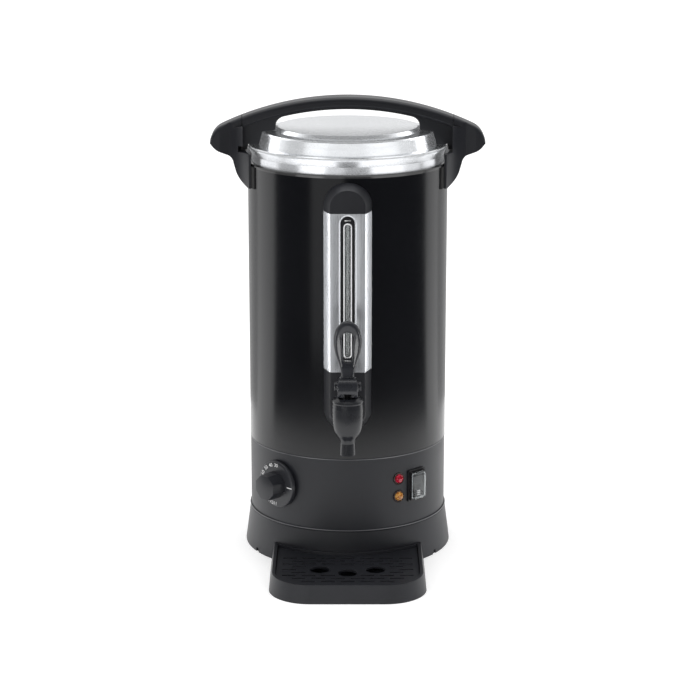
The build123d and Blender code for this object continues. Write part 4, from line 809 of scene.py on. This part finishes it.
def printed(name, text, height, place, body):
    """Raised print of plain figures, centred on a place."""
    curve = bpy.data.curves.new(name, "FONT")
    curve.body = text
    curve.size = mm(height) / CAPITAL_SHARE
    curve.align_x = "CENTER"
    curve.align_y = "CENTER"
    curve.extrude = mm(PRINT_PROUD)
    curve.resolution_u = 3
    holder = bpy.data.objects.new(name, curve)
    bpy.context.scene.collection.objects.link(holder)
    graph = bpy.context.evaluated_depsgraph_get()
    mesh = bpy.data.meshes.new_from_object(holder.evaluated_get(graph))
    bpy.data.objects.remove(holder)
    mesh.transform(place)
    piece(name, mesh, WHITE_PRINT, body, smooth_angle=20)


LAMP_R, LAMP_ANGLE = 7.0, 30.7
LAMP_RIM_T = 1.2
DOME_R, DOME_H = 5.3, 4.4
DOME_SIDES, DOME_STEPS = 10, 6
DOME_START = 8           # degrees up the dome at which it leaves its seat
DOME_SUNK = 1.0          # depth of the dome's middle below the rim's face
LAMP_RIM_PROFILE = (     # radius and height, from behind round the rim to the seat of the dome
    (0, -0.4), (LAMP_R, -0.4), (LAMP_R, LAMP_RIM_T - 0.5), (LAMP_R - 0.4, LAMP_RIM_T),
    (DOME_R + 0.5, LAMP_RIM_T - 0.1), (DOME_R + 0.2, LAMP_RIM_T - 0.5), (0, LAMP_RIM_T - 0.5),
)


def lamp_piece(node, material):
    """Indicator lamp: a dark rim with a smaller faceted dome in it."""
    low, high = node_box(node)
    place = radial_frame(LAMP_ANGLE, (low.z + high.z) / 2, BASE_R)
    piece(f"{node}_rim", from_bmesh(turned(LAMP_RIM_PROFILE, 48), place), LAMP_RIM, "urn")
    dome = [(0, 0.0), (DOME_R, 0.0)]
    for i in range(DOME_STEPS + 1):
        turn = math.radians(DOME_START + (90 - DOME_START) * i / DOME_STEPS)
        dome.append((DOME_R * math.cos(turn), LAMP_RIM_T + DOME_H * math.sin(turn) - DOME_SUNK))
    dome[-1] = (0, dome[-1][1])
    dome_mesh = from_bmesh(turned(dome, DOME_SIDES), place)
    made = piece(f"{node}_lens", dome_mesh, material, "urn", smooth_angle=12)
    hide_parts(node)


COVER_HALF_W, COVER_HALF_H, COVER_DEPTH, COVER_CORNER = 9.5, 15.0, 4.1, 3.0
COVER_STAND = 4.0        # from the base to the cover's back edge
COVER_OUTSIDE = (        # inset, height and corner radius, from the back edge to the face
    (0.0, 0.0, COVER_CORNER), (0.15, COVER_DEPTH - 1.6, COVER_CORNER),
    (0.45, COVER_DEPTH - 0.7, COVER_CORNER), (1.1, COVER_DEPTH - 0.15, COVER_CORNER - 0.4),
    (2.2, COVER_DEPTH, COVER_CORNER - 1.0),
)
COVER_INSIDE = (         # the same behind the face, back to the edge
    (2.4, COVER_DEPTH - 0.9, COVER_CORNER - 1.2), (1.3, COVER_DEPTH - 1.6, COVER_CORNER - 0.6),
    (1.1, 0.0, COVER_CORNER - 0.5),
)
CORNER_STEPS = 6
RIB_COUNT, RIB_PITCH, RIB_H = 3, 2.1, 0.9
RIB_SUNK, RIB_PROUD = 1.6, 0.35
RIB_LEFT, RIB_RIGHT, RIB_LOW = -5.6, -1.2, -9.6


def cover_outline(inset, z, radius):
    """Round-cornered oblong, inset from the cover's outside."""
    points = []
    for cx, cy, start in ((1, 1, 0), (-1, 1, 90), (-1, -1, 180), (1, -1, 270)):
        for i in range(CORNER_STEPS + 1):
            turn = math.radians(start + 90 * i / CORNER_STEPS)
            points.append((cx * (COVER_HALF_W - inset - radius) + radius * math.cos(turn),
                           cy * (COVER_HALF_H - inset - radius) + radius * math.sin(turn), z))
    return points


def switch_pieces():
    """Clear splash cover with a soft thick edge, and three short raised bars on its lower left."""
    place = radial_frame(SWITCH_ANGLE, SWITCH_Z, BASE_R + COVER_STAND)
    loops = [cover_outline(*row) for row in COVER_INSIDE + COVER_OUTSIDE]
    cover = skinned(loops, place, first_cap=True, last_cap=True)
    made = piece("splash_cover", cover, BOOT_CLEAR, "urn", smooth_angle=60)
    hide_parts("switch_boot")

    def ribs(bm):
        for k in range(RIB_COUNT):
            low = RIB_LOW + RIB_PITCH * k
            corners = ((RIB_LEFT, low), (RIB_RIGHT, low), (RIB_RIGHT, low + RIB_H), (RIB_LEFT, low + RIB_H))
            heights = (COVER_DEPTH - RIB_SUNK, COVER_DEPTH + RIB_PROUD)
            skin(bm, [[(x, y, z) for x, y in corners] for z in heights], first_cap=True, last_cap=True)

    piece("splash_ribs", from_bmesh(ribs, place), SILICONE, "urn")


# ---------------------------------------------------------------- camera, light and floor

CAMERA_BACK, CAMERA_UP = 2405.0, 833.7
CAMERA_PITCH = 0.25
CAMERA_LENS = 113.45
AXIS_COLUMN = 347.67     # column of the urn's axis in the photograph's 700 columns
PHOTO_SIDE = 700


def make_camera():
    data = bpy.data.cameras.new("camera")
    data.sensor_width = 36.0
    data.lens = CAMERA_LENS
    data.shift_x = (PHOTO_SIDE / 2 - AXIS_COLUMN) / PHOTO_SIDE
    camera = bpy.data.objects.new("camera", data)
    bpy.context.scene.collection.objects.link(camera)
    camera.location = mm(0, -CAMERA_BACK, CAMERA_UP)
    camera.rotation_euler = (math.pi / 2 - CAMERA_PITCH, 0, 0)
    bpy.context.scene.camera = camera


def flat_material(name, colour, strength=0.0, roughness=0.9):
    """Stage material: a faintly mottled matt surface, with its own light where it needs some."""
    made = Shader(name, Roughness=roughness)
    slow = made.noise(made.place, STAGE_PATCHES, detail=2)
    made.tint(slow, scaled(colour, 0.995), colour)
    if strength:
        made.shader.inputs["Emission Color"].default_value = (1, 1, 1, 1)
        made.shader.inputs["Emission Strength"].default_value = strength
    return made.material


def area_light(name, place, target, size, power, only=None, blockers=None):
    """A soft box. With lists of objects it lights, or is shaded by, those alone, as a flagged lamp would."""
    data = bpy.data.lights.new(name, "AREA")
    data.shape = "RECTANGLE"
    data.size, data.size_y = size
    data.energy = power
    lamp = bpy.data.objects.new(name, data)
    bpy.context.scene.collection.objects.link(lamp)
    lamp.location = place
    lamp.rotation_euler = (Vector(target) - Vector(place)).to_track_quat("-Z", "Y").to_euler()
    lamp.visible_camera = False
    if only:
        group = bpy.data.collections.new(f"{name}_on")
        for o in only:
            group.objects.link(o)
        lamp.light_linking.receiver_collection = group
    if blockers:
        shades = bpy.data.collections.new(f"{name}_shades")
        for o in blockers:
            shades.objects.link(o)
        lamp.light_linking.blocker_collection = shades
    return lamp


def make_world():
    world = bpy.data.worlds.new("studio")
    world.use_nodes = True
    sky = world.node_tree.nodes["Background"]
    sky.inputs["Color"].default_value = (1.0, 1.0, 1.0, 1)
    sky.inputs["Strength"].default_value = 1.0
    bpy.context.scene.world = world
    bpy.context.scene.view_settings.view_transform = "Standard"


DARK_FROM, DARK_TO = -90, 99         # azimuths between which the studio is dark, on the camera's side
GLOW_FROM, GLOW_TO = -40, -4         # azimuths of the soft light strip in front
GREY_FROM, GREY_TO = 125, 172        # azimuths of the grey cards behind the urn, on either side
FLOOR_HALF = 8                       # half the floor's side, metres
FLOOR_WHITE_R = 0.62                 # lit floor round the urn, metres
CARD_LIFT = 0.001                    # cards on the floor lie this far above it, metres
CARD_WHITE, CARD_BLACK = (0.96, 0.96, 0.96), (0.004, 0.004, 0.004)
FLOOR_LIGHT, GLOW_LIGHT, DIM_LIGHT, GREY_LIGHT = 0.25, 0.55, 0.42, 0.62


def azimuth(angle, radius, z):
    turn = math.radians(angle)
    return Vector((math.sin(turn) * radius, -math.cos(turn) * radius, z))


def arc_cards(name, start, end, near, far, material, steps=24):
    """Cards along an arc; near and far are the (radius, height) of their two long edges."""
    vertices, faces = [], []
    for i in range(steps + 1):
        angle = start + (end - start) * i / steps
        vertices += [azimuth(angle, *near), azimuth(angle, *far)]
        if i:
            k = 2 * i
            faces.append((k - 2, k, k + 1, k - 1))
    mesh = bpy.data.meshes.new(name)
    mesh.from_pydata(vertices, [], faces)
    mesh.materials.append(material)
    made = bpy.data.objects.new(name, mesh)
    bpy.context.scene.collection.objects.link(made)
    made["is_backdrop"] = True
    only_in_gloss(made)


def only_in_gloss(made):
    """The card shows in what the finishes mirror, and nowhere else."""
    made.visible_camera = False
    made.visible_diffuse = False
    made.visible_shadow = False
    made.visible_transmission = False
    made.visible_volume_scatter = False


def make_stage():
    """White floor, and dark, grey and glowing cards round the urn that only the finishes mirror."""
    white = flat_material("stage_white", CARD_WHITE, strength=FLOOR_LIGHT)
    black = flat_material("stage_black", CARD_BLACK)
    glow, dim, grey = [flat_material(name, (0.01, 0.01, 0.01), strength=strength) for name, strength in
                       (("stage_glow", GLOW_LIGHT), ("stage_dim", DIM_LIGHT), ("stage_grey", GREY_LIGHT))]
    mesh = bpy.data.meshes.new("floor")
    corners = [(x * FLOOR_HALF, y * FLOOR_HALF, 0) for x, y in ((-1, -1), (1, -1), (1, 1), (-1, 1))]
    mesh.from_pydata(corners, [], [(0, 1, 2, 3)])
    mesh.materials.append(white)
    floor = bpy.data.objects.new("floor", mesh)
    bpy.context.scene.collection.objects.link(floor)
    floor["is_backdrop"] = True
    for side in (-1, 1):
        arc = (side * GREY_FROM, side * GREY_TO)
        arc_cards(f"grey_floor_{side + 1}", *arc, (FLOOR_WHITE_R, CARD_LIFT), (3.0, CARD_LIFT), grey)
        arc_cards(f"grey_wall_{side + 1}", *arc, (3.0, -0.01), (3.0, 0.9), grey)
    arc_cards("dark_floor", DARK_FROM, DARK_TO, (FLOOR_WHITE_R, CARD_LIFT), (3.3, CARD_LIFT), black)
    arc_cards("dark_wall", DARK_FROM, DARK_TO, (3.2, -0.01), (3.2, 2.6), black)
    arc_cards("dark_top", DARK_FROM, DARK_TO, (1.5, 2.6), (3.25, 2.6), black)
    arc_cards("dim_ceiling", 0, 360, (0.01, 2.6), (1.5, 2.6), dim, steps=48)
    arc_cards("glow_front", GLOW_FROM, GLOW_TO, (1.0, 0.02), (1.0, 0.5), glow)


STEEL_PIECES = ("lid_pan", "inner_tank", "guard_sheet", "window_rim", "sight_tube", "rim_flare", "shell_edge",
                "housing_bead", "skirt_bead")
SMALL_PIECES = ("dial", "grip", "lamp_", "splash")       # how their names start

BAND_RADIUS = 0.9                    # soft boxes that the steel alone mirrors, round the urn
BAND_SPLIT, BAND_TOP = 0.5, 1.5      # height where each box changes, and its top
STEEL_BANDS = (                      # from and to, as azimuths, and how bright below and above
    ("far_left", -88, -59, 0.34, 0.62),
    ("left", -57, -26, 1.25, 1.15),
    ("near_left", -26, -6, 0.19, 0.95),
    ("near_right", -6, 26, 0.21, 0.95),
    ("right", 26, 67, 1.25, 1.15),
    ("far_right", 67, 92, 0.80, 0.80),
)
WATTS = 4                            # per square metre of a box and unit of its brightness
FLOOR_GLOW, FLOOR_GLOW_SIZE = 0.35, (1.8, 0.9)
# Boxes on both sides: azimuth, distance, height, aim, size, watts, what they light, and whether that alone
# shades them
END_LIGHTS = (
    ("band_end", 152, 0.9, 0.25, (0, 0, 0.4), (0.7, 0.5), 5.0, ("inner_tank", "rim_flare"), True),
    ("lid_end", 125, 0.9, 0.8, (0, 0, 0.46), (0.8, 0.8), 6.5, ("lid_pan",), True),
)
LEVER_LIGHTS = (("gloss", 46, 0.8, 0.14, (0, -0.16, 0.24), (0.3, 0.4), 2.6, ("lever_form",), False),)
GUARD_LIGHTS = (("guard_side", 122, 0.5, 0.22, (0, -0.15, 0.3), (0.25, 0.4), 2.6, ("guard_sheet",), True),)


def side_lights(rows):
    """A light on either side of the urn for each row of a table."""
    for side in (-1, 1):
        for name, angle, radius, z, aim, size, watts, names, shaded in rows:
            only = [bpy.data.objects[n] for n in names]
            area_light(f"{name}_{side + 1}", azimuth(side * angle, radius, z), aim, size, watts, only,
                       only if shaded else None)


def make_lights():
    """Soft boxes for the steel, small lights for what glints, and one large light from above for the rest."""
    steel = [bpy.data.objects[name] for name in STEEL_PIECES]
    for name, start, end, below, above in STEEL_BANDS:
        middle = (start + end) / 2
        width = 2 * BAND_RADIUS * math.tan(math.radians(end - start) / 2)
        halves = (("low", 0.0, BAND_SPLIT, below), ("high", BAND_SPLIT, BAND_TOP, above))
        for part, low, high, level in halves:
            z = (low + high) / 2
            area_light(f"band_{name}_{part}", azimuth(middle, BAND_RADIUS, z), (0, 0, z), (width, high - low),
                       WATTS * level * width * (high - low), steel)
    area_light("floor_glow", (0, -0.55, 0.004), (0, -0.55, 1.0), FLOOR_GLOW_SIZE,
               WATTS * FLOOR_GLOW * FLOOR_GLOW_SIZE[0] * FLOOR_GLOW_SIZE[1], steel)
    small = [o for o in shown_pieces() if o.name.startswith(SMALL_PIECES)]
    area_light("sparkle", azimuth(-17, 1.5, 1.45), (0, -0.1, 0.09), (0.3, 0.3), 2.6, small)
    for rows in (END_LIGHTS, LEVER_LIGHTS, GUARD_LIGHTS):
        side_lights(rows)
    others = [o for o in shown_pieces() if o not in steel]
    area_light("top", (0, 0.2, 2.2), (0, 0, 0.3), (1.6, 1.2), 12, others + [bpy.data.objects["floor"]])


# ---------------------------------------------------------------- build

dress_cad_nodes()
rim_rings()
guard_face()
gauge_carrier()
lever_form()
return_spring()
knob_piece()
lamp_piece("lamp_red", RED_LENS)
lamp_piece("lamp_amber", AMBER_LENS)
switch_pieces()
make_camera()
make_world()
make_stage()
make_lights()
